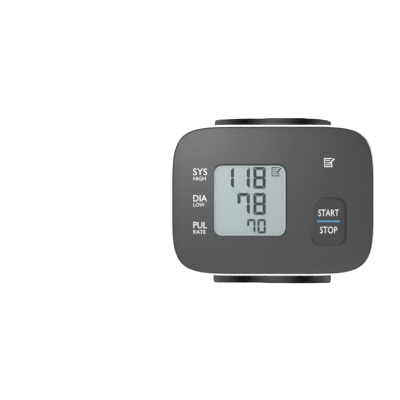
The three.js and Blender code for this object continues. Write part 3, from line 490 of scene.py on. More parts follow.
def turned(name, centre, profile, sides=ROUND_SIDES):
    """A solid turned round an upright axis, from radii and heights."""
    return lathe(name, profile, lambda x, y, z: (centre[0] + x, centre[1] + y, z), sides)


def pole(name, centre, radius, low, high):
    return turned(name, centre, [(radius, low), (radius, high)])


# Materials: a shader's own sockets hold what is the same all over a surface

CLOUD = (40.0, 4.0)  # scale and detail
GRAIN_DETAIL = 2.0
GRAIN_REACH = 0.06 * MM
GLOSS_VARY = 0.06  # how much roughness varies
FLAT_EDGE = 0.5  # pointiness of a flat place
WORN_EDGE = 0.58  # and of a fully worn edge
EDGE_WEAR = 0.35
WAVE_RATE = 20  # radians in a metre of a wave texture at scale 1
RIB_WAVER = 0.3
RIB_DETAIL = 1.0
RIB_REACH = 0.12 * MM
CLOTH_CLOUD = (90.0, 5.0)
CLOTH_VARY = 0.1
CLOTH_SHADE = 0.55  # the darkest mottling of cloth
# Painted sheen: the black cloth's reflections are painted into its colour as lighter and darker bands along
# the cuff
SHEEN_BAND_MIDDLE = 0.5 * MM  # where the lightest band of painted sheen lies across the cuff
SHEEN_BAND_PERIOD = 25.0 * MM
FUZZ_SHARE = 0.6  # scale of fuzz against that of tufts
FUZZ_DETAIL = 6.0
TUFT_REACH = 0.3 * MM


def start_look(name):
    material = bpy.data.materials.new(name)
    material.use_nodes = True
    return material, material.node_tree, material.node_tree.nodes["Principled BSDF"]


def set_sockets(shader, values):
    for socket, value in dict(values).items():
        shader.inputs[socket].default_value = value


def add(tree, kind, output, sources=(), **settings):
    """One output of a new node; its inputs are fed from sockets or set to values."""
    made = tree.nodes.new("ShaderNode" + kind)
    for key, value in settings.items():
        setattr(made, key, value)
    for socket, source in dict(sources).items():
        if isinstance(source, bpy.types.NodeSocket):
            tree.links.new(source, made.inputs[socket])
        else:
            made.inputs[socket].default_value = source
    return made.outputs[output]


def reckon(tree, operation, *values):
    return add(tree, "Math", 0, enumerate(values), operation=operation)


def cloudy(tree, spot, scale, detail):
    return add(tree, "TexNoise", "Fac", {"Vector": spot, "Scale": scale, "Detail": detail})


def spread(tree, value, low, high, from_low=0.0, from_high=1.0, clamp=True):
    """A value brought into another range."""
    sources = {"Value": value, "From Min": from_low, "From Max": from_high, "To Min": low, "To Max": high}
    return add(tree, "MapRange", "Result", sources, clamp=clamp)


def dress(look, tones, gloss, relief, sockets=()):
    """Finish a look with patterns for its tones, its gloss and its relief."""
    material, tree, shader = look
    pattern, dark, light = tones
    colour = add(tree, "ValToRGB", "Color", {"Fac": pattern})
    for element, tone in zip(colour.node.color_ramp.elements, (dark, light)):
        element.color = (*tone, 1)
    tree.links.new(colour, shader.inputs["Base Color"])
    pattern, roughness, vary = gloss
    tree.links.new(spread(tree, pattern, roughness - vary, roughness + vary), shader.inputs["Roughness"])
    height = dict(zip(("Height", "Strength", "Distance"), relief))
    tree.links.new(add(tree, "Bump", "Normal", height), shader.inputs["Normal"])
    set_sockets(shader, sockets)
    return material


def moulded(name, dark, light, roughness, grain, bump, sockets=()):
    """Plastic, rubber or metal: cloudy tone, fine grain and a little wear on its edges."""
    look = start_look(name)
    tree = look[1]
    spot = add(tree, "TexCoord", "Object")
    cloud = cloudy(tree, spot, *CLOUD)
    fine = cloudy(tree, spot, 1 / grain, GRAIN_DETAIL)
    edge = add(tree, "NewGeometry", "Pointiness")
    worn = spread(tree, edge, 0.0, EDGE_WEAR, FLAT_EDGE, WORN_EDGE)
    tones = (reckon(tree, "ADD", cloud, worn), dark, light)
    return dress(look, tones, (cloud, roughness, GLOSS_VARY), (fine, bump, GRAIN_REACH), sockets)


def ribs(tree, spot, pitch, direction):
    """Ribs across one direction, a pitch apart."""
    scale = 2 * math.pi / (WAVE_RATE * pitch)
    sources = {"Vector": spot, "Scale": scale, "Distortion": RIB_WAVER, "Detail": RIB_DETAIL}
    return add(tree, "TexWave", "Fac", sources, bands_direction=direction)


def woven(name, dark, light, roughness, pitch, bump, painted_sheen_depth=0.0, sockets=()):
    """Cloth: ribs along and across it, with lengthwise bands of painted sheen, lighter and darker tone
    across the cuff in place of its reflections.
    """
    look = start_look(name)
    tree = look[1]
    spot = add(tree, "Attribute", "Vector", attribute_name="weave")
    thread = reckon(tree, "MULTIPLY", ribs(tree, spot, pitch, "X"), ribs(tree, spot, pitch, "Y"))
    cloud = cloudy(tree, spot, *CLOTH_CLOUD)
    across = add(tree, "SeparateXYZ", "Y", {0: spot})
    # painted sheen: a cosine band of tone across the cuff, standing in for reflections
    turn = spread(tree, across, 0.0, 2 * math.pi, SHEEN_BAND_MIDDLE, SHEEN_BAND_MIDDLE + SHEEN_BAND_PERIOD, clamp=False)
    painted_sheen = spread(tree, reckon(tree, "COSINE", turn), 1 - painted_sheen_depth, 1.0, -1.0, 1.0)
    mottled = spread(tree, reckon(tree, "ADD", thread, cloud), CLOTH_SHADE, 1.0)
    tones = (reckon(tree, "MULTIPLY", mottled, painted_sheen), dark, light)
    return dress(look, tones, (cloud, roughness, CLOTH_VARY), (thread, bump, RIB_REACH), sockets)


def fleecy(name, dark, light, roughness, size, bump):
    """Loop or hook tape: a close field of small tufts."""
    look = start_look(name)
    tree = look[1]
    spot = add(tree, "TexCoord", "Object")
    tufts = add(tree, "TexVoronoi", "Distance", {"Vector": spot, "Scale": 1 / size})
    fuzz = cloudy(tree, spot, FUZZ_SHARE / size, FUZZ_DETAIL)
    mixed = reckon(tree, "MULTIPLY", tufts, fuzz)
    return dress(look, (mixed, dark, light), (fuzz, roughness, CLOTH_VARY), (mixed, bump, TUFT_REACH))


def grey(level):
    return (level, level, level)


def shine(level):
    """How much a dull surface reflects."""
    return {"Specular IOR Level": level}


METAL = {"Metallic": 1.0}
MOULDED = {
    # darker tone, lighter tone, roughness, size of the grain, its bump, other sockets
    "grey_cover": (grey(0.0190), grey(0.0225), 0.38, 0.25 * MM, 0.10, shine(0.21)),
    "grey_key": (grey(0.0138), grey(0.0164), 0.41, 0.25 * MM, 0.10, shine(0.21)),
    "white_case": ((0.88, 0.88, 0.875), (0.93, 0.93, 0.925), 0.5, 0.3 * MM, 0.15),
    "clear_pane": (grey(0.10), grey(0.14), 0.2, 0.5 * MM, 0.01, {"Alpha": 0.05, **shine(0.1)}),
    "display_glass": ((0.210, 0.246, 0.251), (0.231, 0.267, 0.272), 0.3, 0.6 * MM, 0.03, shine(0.1)),
    "dark_plastic": (grey(0.02), grey(0.03), 0.5, 0.3 * MM, 0.15),
    "pale_rubber": ((0.45, 0.42, 0.36), (0.55, 0.52, 0.46), 0.7, 0.3 * MM, 0.2),
    "board": ((0.01, 0.09, 0.03), (0.02, 0.16, 0.05), 0.4, 0.5 * MM, 0.1),
    "steel": (grey(0.42), grey(0.55), 0.35, 0.12 * MM, 0.1, METAL),
    "nickel": ((0.55, 0.53, 0.48), (0.68, 0.66, 0.61), 0.25, 0.12 * MM, 0.08, METAL),
    "cell_jacket": ((0.03, 0.10, 0.22), (0.05, 0.14, 0.30), 0.3, 0.2 * MM, 0.04),
    "clear_tube": (grey(0.60), grey(0.72), 0.3, 0.3 * MM, 0.05, {"Alpha": 0.55}),
    "curler_plastic": (grey(0.55), grey(0.65), 0.4, 0.4 * MM, 0.05),
    "bladder_sheet": (grey(0.30), grey(0.38), 0.5, 0.6 * MM, 0.2),
    "white_ink": (grey(0.42), grey(0.49), 0.6, 0.2 * MM, 0.05),
    "blue_ink": ((0.042, 0.138, 0.234), (0.050, 0.150, 0.256), 0.5, 0.2 * MM, 0.05, shine(0.15)),
    # display ink: the figures' print, and also the painted shadow line round the display
    "display_ink": ((0.003, 0.011, 0.012), (0.005, 0.014, 0.015), 0.5, 0.2 * MM, 0.02, shine(0.15)),
    "rim_plastic": ((0.200, 0.233, 0.238), (0.220, 0.254, 0.259), 0.4, 0.3 * MM, 0.03),
    "stitch_thread": (grey(0.03), grey(0.06), 0.6, 0.15 * MM, 0.4),
}
WOVEN = {
    # darker tone, lighter tone, roughness, pitch of the ribs, their bump, depth of its bands of painted
    # sheen, other sockets
    "black_cloth": (grey(0.0053), grey(0.083), 0.75, 0.55 * MM, 0.5, 0.97, shine(0.0)),
    "grey_lining": (grey(0.06), grey(0.13), 0.7, 0.45 * MM, 0.5),
    "tape_cloth": (grey(0.02), grey(0.06), 0.7, 0.4 * MM, 0.5),
}
FLEECY = {
    # darker tone, lighter tone, roughness, size of the tufts, their bump
    "loop_cloth": (grey(0.008), grey(0.04), 0.9, 0.5 * MM, 0.9),
    "hook_cloth": (grey(0.01), grey(0.05), 0.7, 0.35 * MM, 1.0),
}
looks = {}
for make, rows in ((moulded, MOULDED), (woven, WOVEN), (fleecy, FLEECY)):
    for name, row in rows.items():
        looks[name] = make(name, *row)

for part in frame["record"]["subparts"]:
    carried = frame["nodes"][part["node"]]
    carried.data.materials.clear()
    carried.data.materials.append(looks[part["material_slot"]])


# The front cover

def face_solid(name):
    """The front cover's outside, from the parting line to the dome's middle."""
    levels = [(PARTING_ROUND, COVER_BOTTOM), (0.0, COVER_BOTTOM + PARTING_ROUND)]
    levels += round_over(EDGE_ROUND, FACE_EDGE - EDGE_DROP, FACE_EDGE)
    for share in shares(DOME_STEPS, first=1):
        levels.append((EDGE_ROUND + share * DOME_REACH, crown(FACE_EDGE, FACE_DOME, share)))
    return case_solid(name, COVER_HALF, levels)


def face_level(x, y):
    """Height of the face at one place."""
    low = 0.0
    high = COVER_HALF[1] - DOME_FLAT
    for _ in range(HALVINGS):
        inset = (low + high) / 2
        reach_x = abs(x / (COVER_HALF[0] - inset)) ** SIDE_POWER
        reach_y = abs(y / (COVER_HALF[1] - inset)) ** END_POWER
        if reach_x + reach_y < 1:
            low = inset
        else:
            high = inset
    return crown(FACE_EDGE, FACE_DOME, limited((low - EDGE_ROUND) / DOME_REACH))


def opening(name, plan, edge):
    """A cutting shape for an opening in the face, with a rounded edge."""
    size, _, centre = plan
    top = face_level(*[at + math.copysign(across / 2, at) for at, across in zip(centre, size)])
    levels = [(0.0, HOLE_BOTTOM)] + round_over(edge, top - edge, top) + [(edge, FACE_TOP + PAST)]
    return stack(name, plan, levels)


def front_cover():
    shell = face_solid("front_shell")
    room_levels = [(CASE_WALL, COVER_BOTTOM - PAST), (CASE_WALL, COVER_CEILING)]
    room = case_solid("room", COVER_HALF, room_levels)
    window = opening("window", WINDOW, WINDOW_EDGE)
    flange_plan = (grown(PANE[0], SEAT_GAP / 2), *PANE[1:])
    flange = prism("flange_room", flange_plan, HOLE_BOTTOM, pane_high.z)
    start = opening("start_hole", widened(START, START_GAP), HOLE_EDGE)
    memory = prism("memory_hole", widened(MEMORY, MEMORY_GAP), HOLE_BOTTOM, FACE_TOP + PAST)
    carve(shell, room, window, flange, start, memory)
    place(smooth(shell), "grey_cover", replaced=["front_cover"])


def case_lip():
    """The lip that closes the parting line from inside."""
    outer = CASE_WALL + LIP_GAP
    inner = outer + LIP_WALL
    levels = [(outer, LIP_BOTTOM), (outer, LIP_TOP), (inner, LIP_TOP), (inner, LIP_BOTTOM)]
    place(smooth(case_solid("front_lip", COVER_HALF, levels, looped=True)), "grey_cover")


# The display

def topped(low, high):
    """Levels of a slab whose upper edge is rounded."""
    rounding = round_over(SEAM_ROUND, high - SEAM_ROUND, high)
    return [(0.0, low)] + [(-inset, z) for inset, z in rounding]


def display():
    levels = topped(pane_high.z - PANE_THICK, pane_high.z)
    place(smooth(stack("display_pane", PANE, levels)), "clear_pane", replaced=["display_window"])
    slabs = [(size_of(panel_low, panel_high), 2 * SEAM_ROUND, panel_low.z, panel_high.z),
             (GLASS_SIZE, WINDOW_ROUND, panel_high.z, GLASS_TOP)]
    rings = []
    for size, radius, low, high in slabs:
        rings += [rounded(grown(size, grow), radius, PANE_CENTRE, z) for grow, z in topped(low, high)]
    place(smooth(skin("display_panel", rings)), "display_glass", replaced=["lcd_panel"])


def display_rim():
    """A thin seal on the pane, hollow towards the display."""
    low = pane_high.z
    crest = low + RIM_TOP
    foot = -RIM_FLAT - RIM_COVE
    levels = [(0.0, low), (0.0, crest)]
    for along, down in arc(ROUND_STEPS):
        levels.append((foot + RIM_COVE * along, crest - (RIM_TOP - RIM_FOOT) * down))
    levels.append((foot, low))
    place(smooth(stack("display_rim", RIM, levels, looped=True)), "clear_pane", look="rim_plastic")


def display_border():
    """Painted shadow: a dark ring on the pane in place of the shade of the opening's edge; it shows between
    seal and opening, at the top and right.
    """
    inner = (grown(RIM[0], SHADOW_LINE_GAP), *RIM[1:])
    outer = (grown(WINDOW[0], -SHADOW_LINE_GAP), *WINDOW[1:])
    low = pane_high.z
    high = low + INK_LIFT
    rings = [rounded(*inner, low), rounded(*inner, high), rounded(*outer, high), rounded(*outer, low)]
    place(skin("display_border", rings, looped=True), "clear_pane", look="display_ink")


# Figures and signs: their places and sizes are in millimetres on the face

# Which segments each numeral lights, from the top one clockwise, the middle one last
NUMERALS = {"0": "abcdef", "1": "bc", "7": "abcf", "8": "abcdefg"}
SEGMENT_GAP = 0.11
SEGMENT_CUT = 0.4  # in strokes: what is cut off a figure's corners,
MIDDLE_STROKE = 0.95  # the middle segment's thickness,
MIDDLE_END = 0.45  # and its distance from the figure's sides
LARGE = (5.1, 9.0, 1.3)  # width, height and stroke
SMALL = (3.4, 5.85, 0.9)
FIGURES = [
    # numeral, left, top and its size
    ("1", -20.9, 13.7, LARGE),
    ("1", -14.4, 13.7, LARGE),
    ("8", -7.9, 13.7, LARGE),
    ("7", -14.4, 3.0, LARGE),
    ("8", -7.9, 3.0, LARGE),
    ("7", -10.4, -7.7, SMALL),
    ("0", -6.2, -7.7, SMALL),
]
DISPLAY_PAGE = (-0.4, 13.6, 3.9, 3.8, 0.36)  # left, top, width, height and stroke
MEMORY_PAGE = (21.1, 17.2, 4.1, 3.6, 0.27)
PAGE_WIDTH = 0.78  # shares of the sign: the page's width,
PAGE_SIDE = 0.42  # the height of its right side,
PENCIL_END = (1.0, 0.94)  # and the pencil's two ends
PENCIL_POINT = (0.5, 0.3)
PAGE_LINES = 3
LINE_LEFT = 2.0  # in strokes: the margins of the page's lines,
LINE_RIGHT = 2.6
LINE_THICK = 0.8  # their thickness,
PENCIL_HALF = 0.75  # half the pencil's thickness,
PENCIL_TAPER = 2.0  # and the length of its point


def segments(width, height, stroke):
    """Outlines of the seven segments, from the lower left corner."""
    half = height / 2
    slim = MIDDLE_STROKE * stroke / 2
    gap = SEGMENT_GAP
    cut = SEGMENT_CUT * stroke
    near = (cut + gap) / 2
    far = (cut - gap) / 2
    inner = stroke + gap
    end = MIDDLE_END * stroke + gap
    top = [(cut, height), (width - cut, height), (width - near, height - far),
           (width - inner, height - stroke), (inner, height - stroke), (near, height - far)]
    left = [(0, height - cut), (far, height - near), (stroke, height - inner), (stroke, half + slim + gap),
            (stroke - slim / 2, half + gap), (cut / 2, half + gap), (0, half + gap + cut / 2)]
    middle = [(end, half), (inner, half + slim), (width - inner, half + slim),
              (width - end, half), (width - inner, half - slim), (inner, half - slim)]

    def across(points):
        return [(width - x, y) for x, y in reversed(points)]

    def below(points):
        return [(x, height - y) for x, y in reversed(points)]

    return {"a": top, "b": across(left), "c": across(below(left)), "d": below(top),
            "e": below(left), "f": left, "g": middle}


def page(left, top, width, height, stroke):
    """A page with lines on it, and a pencil across its right side."""
    right = left + PAGE_WIDTH * width
    low = top - height
    bars = [(left, top, right, top - stroke), (left, low + stroke, right, low),
            (left, top - stroke, left + stroke, low + stroke),
            (right - stroke, low + PAGE_SIDE * height, right, low + stroke)]
    for line in range(1, PAGE_LINES + 1):
        level = top - height * line / (PAGE_LINES + 1) + stroke / 2
        line_right = right - LINE_RIGHT * stroke
        bars.append((left + LINE_LEFT * stroke, level, line_right, level - LINE_THICK * stroke))
    outlines = [[(x0, y0), (x0, y1), (x1, y1), (x1, y0)] for x0, y0, x1, y1 in bars]
    end, point = [Vector((left + x * width, low + y * height)) for x, y in (PENCIL_END, PENCIL_POINT)]
    run = (end - point).normalized() * stroke
    aside = Vector((-run.y, run.x)) * PENCIL_HALF
    neck = point + run * PENCIL_TAPER
    outlines.append([end + aside, neck + aside, point, neck - aside, end - aside])
    return outlines


def scaled(outlines):
    return [[(x * MM, y * MM) for x, y in points] for points in outlines]


def plates(name, outlines, level, bed=INK_LIFT):
    """Thin plates of ink at the height that level gives; bed is how far they reach below it."""
    stacks = []
    for points in outlines:
        stacks.append([[(x, y, level(x, y) + lift) for x, y in points] for lift in (-bed, INK_LIFT)])
    return solids(name, stacks)


def display_figures():
    outlines = page(*DISPLAY_PAGE)
    for numeral, left, top, size in FIGURES:
        shapes = segments(*size)
        low = top - size[1]
        outlines += [[(left + x, low + y) for x, y in shapes[letter]] for letter in NUMERALS[numeral]]
    figures = plates("display_figures", scaled(outlines), lambda x, y: GLASS_TOP, bed=0.0)
    place(figures, "display_glass", look="display_ink")


# The keys and the print on the face

def start_level(x, y):
    """Height of the start key's top at one place."""
    inset_x = START_SIZE[0] / 2 - abs(x - START_CENTRE[0])
    inset_y = START_SIZE[1] / 2 - abs(y - START_CENTRE[1])
    share = (min(inset_x, inset_y) - START_EDGE) / START_REACH
    return crown(START_FLAT, START_DOME, limited(share))


def start_ring(inset, radius, z=0.0):
    return rounded(grown(START_SIZE, -inset), radius, START_CENTRE, z)


def start_key():
    """The key's rounded edge starts level with the face all round it."""
    rings = [start_ring(0.0, START_ROUND, KEY_BOTTOM)]
    foot = [face_level(x, y) for x, y, _ in start_ring(0.0, START_ROUND)]
    for share in shares(ROUND_STEPS):
        inset = START_EDGE * share
        risen = ease(share, 0.0, 1.0)
        ring = start_ring(inset, START_ROUND - inset)
        rings.append([(x, y, low + risen * (START_FLAT - low)) for (x, y, _), low in zip(ring, foot)])
    for share in shares(START_STEPS, first=1):
        inset = START_EDGE + share * START_REACH
        radius = max(START_ROUND - inset, SEAM_ROUND)
        rings.append(start_ring(inset, radius, crown(START_FLAT, START_DOME, share)))
    place(smooth(skin("start_cap", rings)), "grey_key", body="start_key", replaced=["start_button"])


def memory_key():
    """The flush key takes its top from the face."""
    cap = prism("memory_cap", MEMORY, KEY_BOTTOM, FACE_TOP + PAST)
    carve(cap, face_solid("face_copy"), operation="INTERSECT")
    place(smooth(cap), "grey_cover", body="memory_key", replaced=["memory_button"])


LETTER_STEPS = 3
LETTER_THIN = -0.006  # thins the font's strokes
LETTER_DEPTH = 0.01
FACE_WORDS = [
    # text, then left, top, width and height in millimetres
    ("SYS", -32.5, 13.0, 5.7, 2.7),
    ("HIGH", -32.4, 9.6, 5.0, 1.5),
    ("DIA", -32.4, 2.1, 5.5, 2.6),
    ("LOW", -32.4, -1.1, 4.6, 1.5),
    ("PUL", -32.4, -8.85, 5.5, 2.6),
    ("RATE", -32.4, -12.2, 5.0, 1.5),
]
KEY_WORDS = [
    ("START", 18.7, -3.8, 8.4, 2.7),
    ("STOP", 19.4, -10.8, 7.0, 2.7),
]
LINE = ((9.5 * MM, 0.7 * MM), 0.34 * MM, (22.8 * MM, -8.6 * MM))  # the start key's blue line


def lettering(name, words, level):
    """Words fitted into boxes, at the height that level gives."""
    vertices = []
    faces = []
    for text, left, top, width, height in words:
        curve = bpy.data.curves.new(name + "_curve", "FONT")
        curve.body = text
        curve.resolution_u = LETTER_STEPS
        curve.offset = LETTER_THIN
        curve.extrude = LETTER_DEPTH
        writer = new_object(name + "_writer", curve)
        mesh = final_mesh(writer)
        spots = [v.co for v in mesh.vertices]
        low = [min(axis) for axis in zip(*spots)]
        high = [max(axis) for axis in zip(*spots)]
        first = len(vertices)
        for spot in spots:
            x = (left + (spot.x - low[0]) / (high[0] - low[0]) * width) * MM
            y = (top - (high[1] - spot.y) / (high[1] - low[1]) * height) * MM
            vertices.append((x, y, level(x, y) + math.copysign(INK_LIFT, spot.z)))
        faces += [tuple(first + i for i in polygon.vertices) for polygon in mesh.polygons]
        bpy.data.objects.remove(writer)
        bpy.data.meshes.remove(mesh)
    return mesh_object(name, vertices, faces)


def prints():
    place(lettering("face_words", FACE_WORDS, face_level), "grey_cover", look="white_ink")
    words = lettering("start_words", KEY_WORDS, start_level)
    place(words, "grey_cover", body="start_key", look="white_ink")
    line = [(x, y) for x, y, _ in rounded(*LINE)]
    place(plates("start_line", [line], start_level), "grey_key", body="start_key", look="blue_ink")
    icon = plates("memory_icon", scaled(page(*MEMORY_PAGE)), face_level)
    place(icon, "grey_cover", body="memory_key", look="white_ink")


# The rear case and the battery cover

def rear_block(name):
    rounding = round_over(BACK_ROUND, CASE_BACK + BACK_ROUND, CASE_BACK)
    levels = [(BACK_DRAFT + inset, z) for inset, z in reversed(rounding)]
    levels += [(0.0, rear_high.z - PARTING_ROUND), (PARTING_ROUND, rear_high.z)]
    return case_solid(name, REAR_HALF, levels)


def rear_room(name, low):
    levels = [(CASE_WALL + BACK_DRAFT, low), (CASE_WALL, rear_high.z + PAST)]
    return case_solid(name, REAR_HALF, levels)


def door_prism(name, grow, inner):
    """The battery cover's outline, run through the case's left side."""
    box = (door_low.yz, door_high.yz)
    ring = rounded(*widened((size_of(*box), DOOR_ROUND, middle_of(*box)), grow))
    return skin(name, [[(x, y, z) for y, z, _ in ring] for x in (rear_low.x - PAST, inner)])


def oval_point(degrees, inset):
    """A point of the cuff's oval, drawn in along its normal: Y and Z."""
    turn = math.radians(degrees)
    along = math.cos(turn)
    across = math.sin(turn)
    spread_y = abs(along / OVAL_HALF_Y) ** OVAL_POWER
    spread_z = abs(across / OVAL_HALF_Z) ** OVAL_POWER
    reach = (spread_y + spread_z) ** (-1 / OVAL_POWER)
    y = reach * along
    z = reach * across
    slope_y = math.copysign(abs(y / OVAL_HALF_Y) ** (OVAL_POWER - 1) / OVAL_HALF_Y, y)
    slope_z = math.copysign(abs(z / OVAL_HALF_Z) ** (OVAL_POWER - 1) / OVAL_HALF_Z, z)
    steep = math.hypot(slope_y, slope_z)
    return y - inset * slope_y / steep, max(OVAL_MIDDLE + z - inset * slope_z / steep, 0.0)


def oval_prism(name, grow, half_width):
    ring = [oval_point(degrees, -grow) for degrees in range(0, 360, OVAL_STEP)]
    return skin(name, [[(x, *point) for point in ring] for x in (-half_width, half_width)])


def rear_case():
    room = rear_room("rear_room", CASE_FLOOR)
    roof = oval_prism("saddle_roof", SADDLE_GROW + SADDLE_WALL, SADDLE_HALF + SADDLE_WALL)
    divider = block("divider", (POCKET_INNER, -POCKET_END - POCKET_WALL, CASE_BACK),
                    (POCKET_INNER + DIVIDER_WALL, POCKET_END + POCKET_WALL, WALL_TOP))
    fillers = [roof, divider]
    for low_y in (-POCKET_END - POCKET_WALL, POCKET_END):
        fillers.append(block("pocket_end", (rear_low.x, low_y, CASE_BACK),
                             (POCKET_INNER + DIVIDER_WALL / 2, low_y + POCKET_WALL, WALL_TOP)))
    cuts = []
    for low, high in map(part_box, SCREW_NODES):
        centre = middle_of(low, high)
        head = (high.x - low.x) / 2 + SEAT_GAP
        fillers.append(pole("column", centre, COLUMN_RADIUS, CASE_BACK, WALL_TOP))
        cuts.append(pole("head_hole", centre, head, CASE_BACK - PAST, low.z + HEAD_HEIGHT + SEAT_GAP))
        cuts.append(pole("shank_hole", centre, SHANK_HOLE, CASE_BACK, rear_high.z + PAST))
    carve(room, *fillers)
    channel = oval_prism("saddle", SADDLE_GROW, SADDLE_HALF)
    door = door_prism("door_hole", DOOR_GAP, middle_of(lower_low, lower_high)[0])
    pocket_low = (POCKET_OUTER, -POCKET_END, CASE_FLOOR)
    pocket = block("pocket", pocket_low, (POCKET_INNER, POCKET_END, POCKET_TOP))
    shell = rear_block("rear_shell")
    carve(shell, room, channel, *cuts, door, pocket)
    place(smooth(shell), "white_case", replaced=["rear_case"])


def battery_cover():
    cover = rear_block("battery_door")
    carve(cover, rear_room("door_room", CASE_BACK - PAST))
    carve(cover, door_prism("door_edge", -DOOR_TRIM, POCKET_OUTER), operation="INTERSECT")
    low = door_low.z + GROOVE_MARGIN
    high = door_high.z - GROOVE_MARGIN
    tip = GROOVE_TIP * GROOVE_RADIUS
    profile = [(tip, low - GROOVE_RADIUS), (GROOVE_RADIUS, low), (GROOVE_RADIUS, high),
               (tip, high + GROOVE_RADIUS)]
    grooves = []
    for i in range(GROOVE_COUNT):
        y = GROOVE_START + i * GROOVE_PITCH
        share = (1 - abs(y / REAR_HALF[1]) ** END_POWER) ** (1 / SIDE_POWER)
        x = -(REAR_HALF[0] - BACK_DRAFT / 2) * share
        grooves.append(turned("groove", (x, y), profile, GROOVE_SIDES))
    carve(cover, *grooves)
    place(smooth(cover), "white_case", body="battery_door", replaced=["battery_cover"])


# The cells and the screws

def battery_cell(word, low, high, nub_side):
    """A cell in its printed sleeve; its nub points along Y to one side."""
    middle = (low + high) / 2
    radius = (high.z - low.z) / 2
    can = radius - SLEEVE_THICK
    base = (low.y - high.y) / 2
    nub = -base
    shoulder = nub - NUB_HEIGHT
    nub_round = CELL_ROUND / 2

    def spot(aside, up, along):
        return (middle.x + aside, middle.y + nub_side * along, middle.z + up)

    def barrel(wide):
        """Both edges of a barrel."""
        return [(wide, base + CELL_ROUND), (wide, shoulder - CELL_ROUND)]

    profile = [(CELL_BASE * can, base), (can - CELL_ROUND, base), *barrel(can),
               (can - CELL_ROUND, shoulder), (NUB_RADIUS, shoulder), (NUB_RADIUS, nub - nub_round),
               (NUB_RADIUS - nub_round, nub)]
    place(smooth(lathe("cell_can_" + word, profile, spot)), "nickel", replaced=["battery_cell_" + word])
    lip = SLEEVE_LIP * radius
    turn = radius - CELL_ROUND
    sleeve = [(lip, base + LAYER_GAP), (turn, base + LAYER_GAP), *barrel(radius),
              (turn, shoulder + SLEEVE_END), (lip, shoulder + SLEEVE_END), (lip, shoulder + LAYER_GAP),
              (can - CELL_ROUND, shoulder), *reversed(barrel(can - SLEEVE_GAP)), (lip, base + SLEEVE_END)]
    place(smooth(lathe("cell_sleeve_" + word, sleeve, spot, looped=True)), "cell_jacket")


def case_screw(node):
    """A screw with a rounded head and a cross recess."""
    low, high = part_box(node)
    x, y = middle_of(low, high)
    head = (high.x - low.x) / 2
    neck = low.z + HEAD_HEIGHT
    profile = [(share * head, low.z + up) for share, up in HEAD_DOME]
    profile += [(head, neck), (SCREW_SHANK, neck), (SCREW_SHANK, high.z)]
    screw = turned(node.replace("case_screw", "back_screw"), (x, y), profile)
    slots = []
    for wide, long in ((SLOT_WIDTH, SLOT_LENGTH), (SLOT_LENGTH, SLOT_WIDTH)):
        slots.append(block("slot", (x - wide / 2, y - long / 2, low.z - PAST),
                           (x + wide / 2, y + long / 2, low.z + SLOT_DEPTH)))
    carve(screw, *slots)
    place(smooth(screw), "steel", replaced=[node])


def small_parts():
    battery_cell("lower", lower_low, lower_high, 1)
    battery_cell("upper", upper_low, upper_high, -1)
    for node in SCREW_NODES:
        case_screw(node)


# The cuff

ANGLES = [ARC_START + ARC_STEP * i for i in range(int(ARC_SPAN / ARC_STEP) + 1)]
LENGTHS = [0.0]
for before, after in zip(ANGLES, ANGLES[1:]):
    stride = math.dist(oval_point(before, 0.0), oval_point(after, 0.0))
    LENGTHS.append(LENGTHS[-1] + stride)
LAST_ARC = len(LENGTHS) - 2


def arc_at(degrees):
    """Length along the oval up to an angle."""
    share = (degrees - ARC_START) / ARC_STEP
    i = limited(int(share), 0, LAST_ARC)
    return LENGTHS[i] + (share - i) * (LENGTHS[i + 1] - LENGTHS[i])


def angle_at(length):
    """The angle at a length along the oval."""
    i = limited(bisect.bisect_right(LENGTHS, length) - 1, 0, LAST_ARC)
    share = (length - LENGTHS[i]) / (LENGTHS[i + 1] - LENGTHS[i])
    return ANGLES[i] + share * ARC_STEP


def steady(value):
    """The same value at every angle."""
    return lambda degrees: value


def band_inset(degrees):
    """How far the fixed band lies inside the oval: it tucks in under the strap."""
    return TUCK_DEPTH * ease(degrees, TUCK_START, TUCK_END)


def tip_half(degrees):
    """Half the strap's width; it tapers towards its tip."""
    return CUFF_WIDTH / 2 * (1 - TAPER * ease(-degrees, -TAPER_START, -TIP_END) ** 2)


def pad_half(degrees):
    return tip_half(degrees) - (CUFF_WIDTH - PAD_WIDTH) / 2


def right_of(x, line):
    """0 left of a line along the cuff and 1 right of it."""
    return ease(x, line - SEAM_SPAN, line + SEAM_SPAN)


def plain_rise(x, half):
    return 0.0


def cuff_rise(x, half):
    """How far the fixed band's outside stands above its edges."""
    return CUFF_SWELL * (1 - (x / half) ** SWELL_POWER) + SEAM_STEP * right_of(x, SEAM_X)


def strap_rise(x, half):
    """The same for the strap: lower left of the seam, and falling away to the right."""
    left_share = abs(x - SEAM_X) / (half + SEAM_X)
    left = STRAP_SEAM - (STRAP_SEAM - STRAP_LEFT) * left_share ** FALL_POWER
    lean = STRAP_LEAN * max((CREST_X - x) / (CREST_X - SEAM_X), 0.0) ** 2
    fall = STRAP_FALL * max((x - CREST_X) / (half - CREST_X), 0.0) ** FALL_POWER
    right = STRAP_CROWN - lean - fall - FOLD_STEP * right_of(x, FOLD_X)
    return left + (right - left) * right_of(x, SEAM_X)


def with_weave(made, places):
    """Keep the cloth's own lengths on its points, for its weave."""
    weave = made.data.attributes.new("weave", "FLOAT_VECTOR", "POINT")
    for i, spot in enumerate(places):
        weave.data[i].vector = spot
    return smooth(made, CLOTH_ANGLE)


def beside(run):
    """A direction turned right."""
    return Vector((run.y, -run.x))


def heading(path, i):
    """Direction of a path at one of its points."""
    return (Vector(path[min(i + 1, len(path) - 1)]) - Vector(path[max(i - 1, 0)])).normalized()


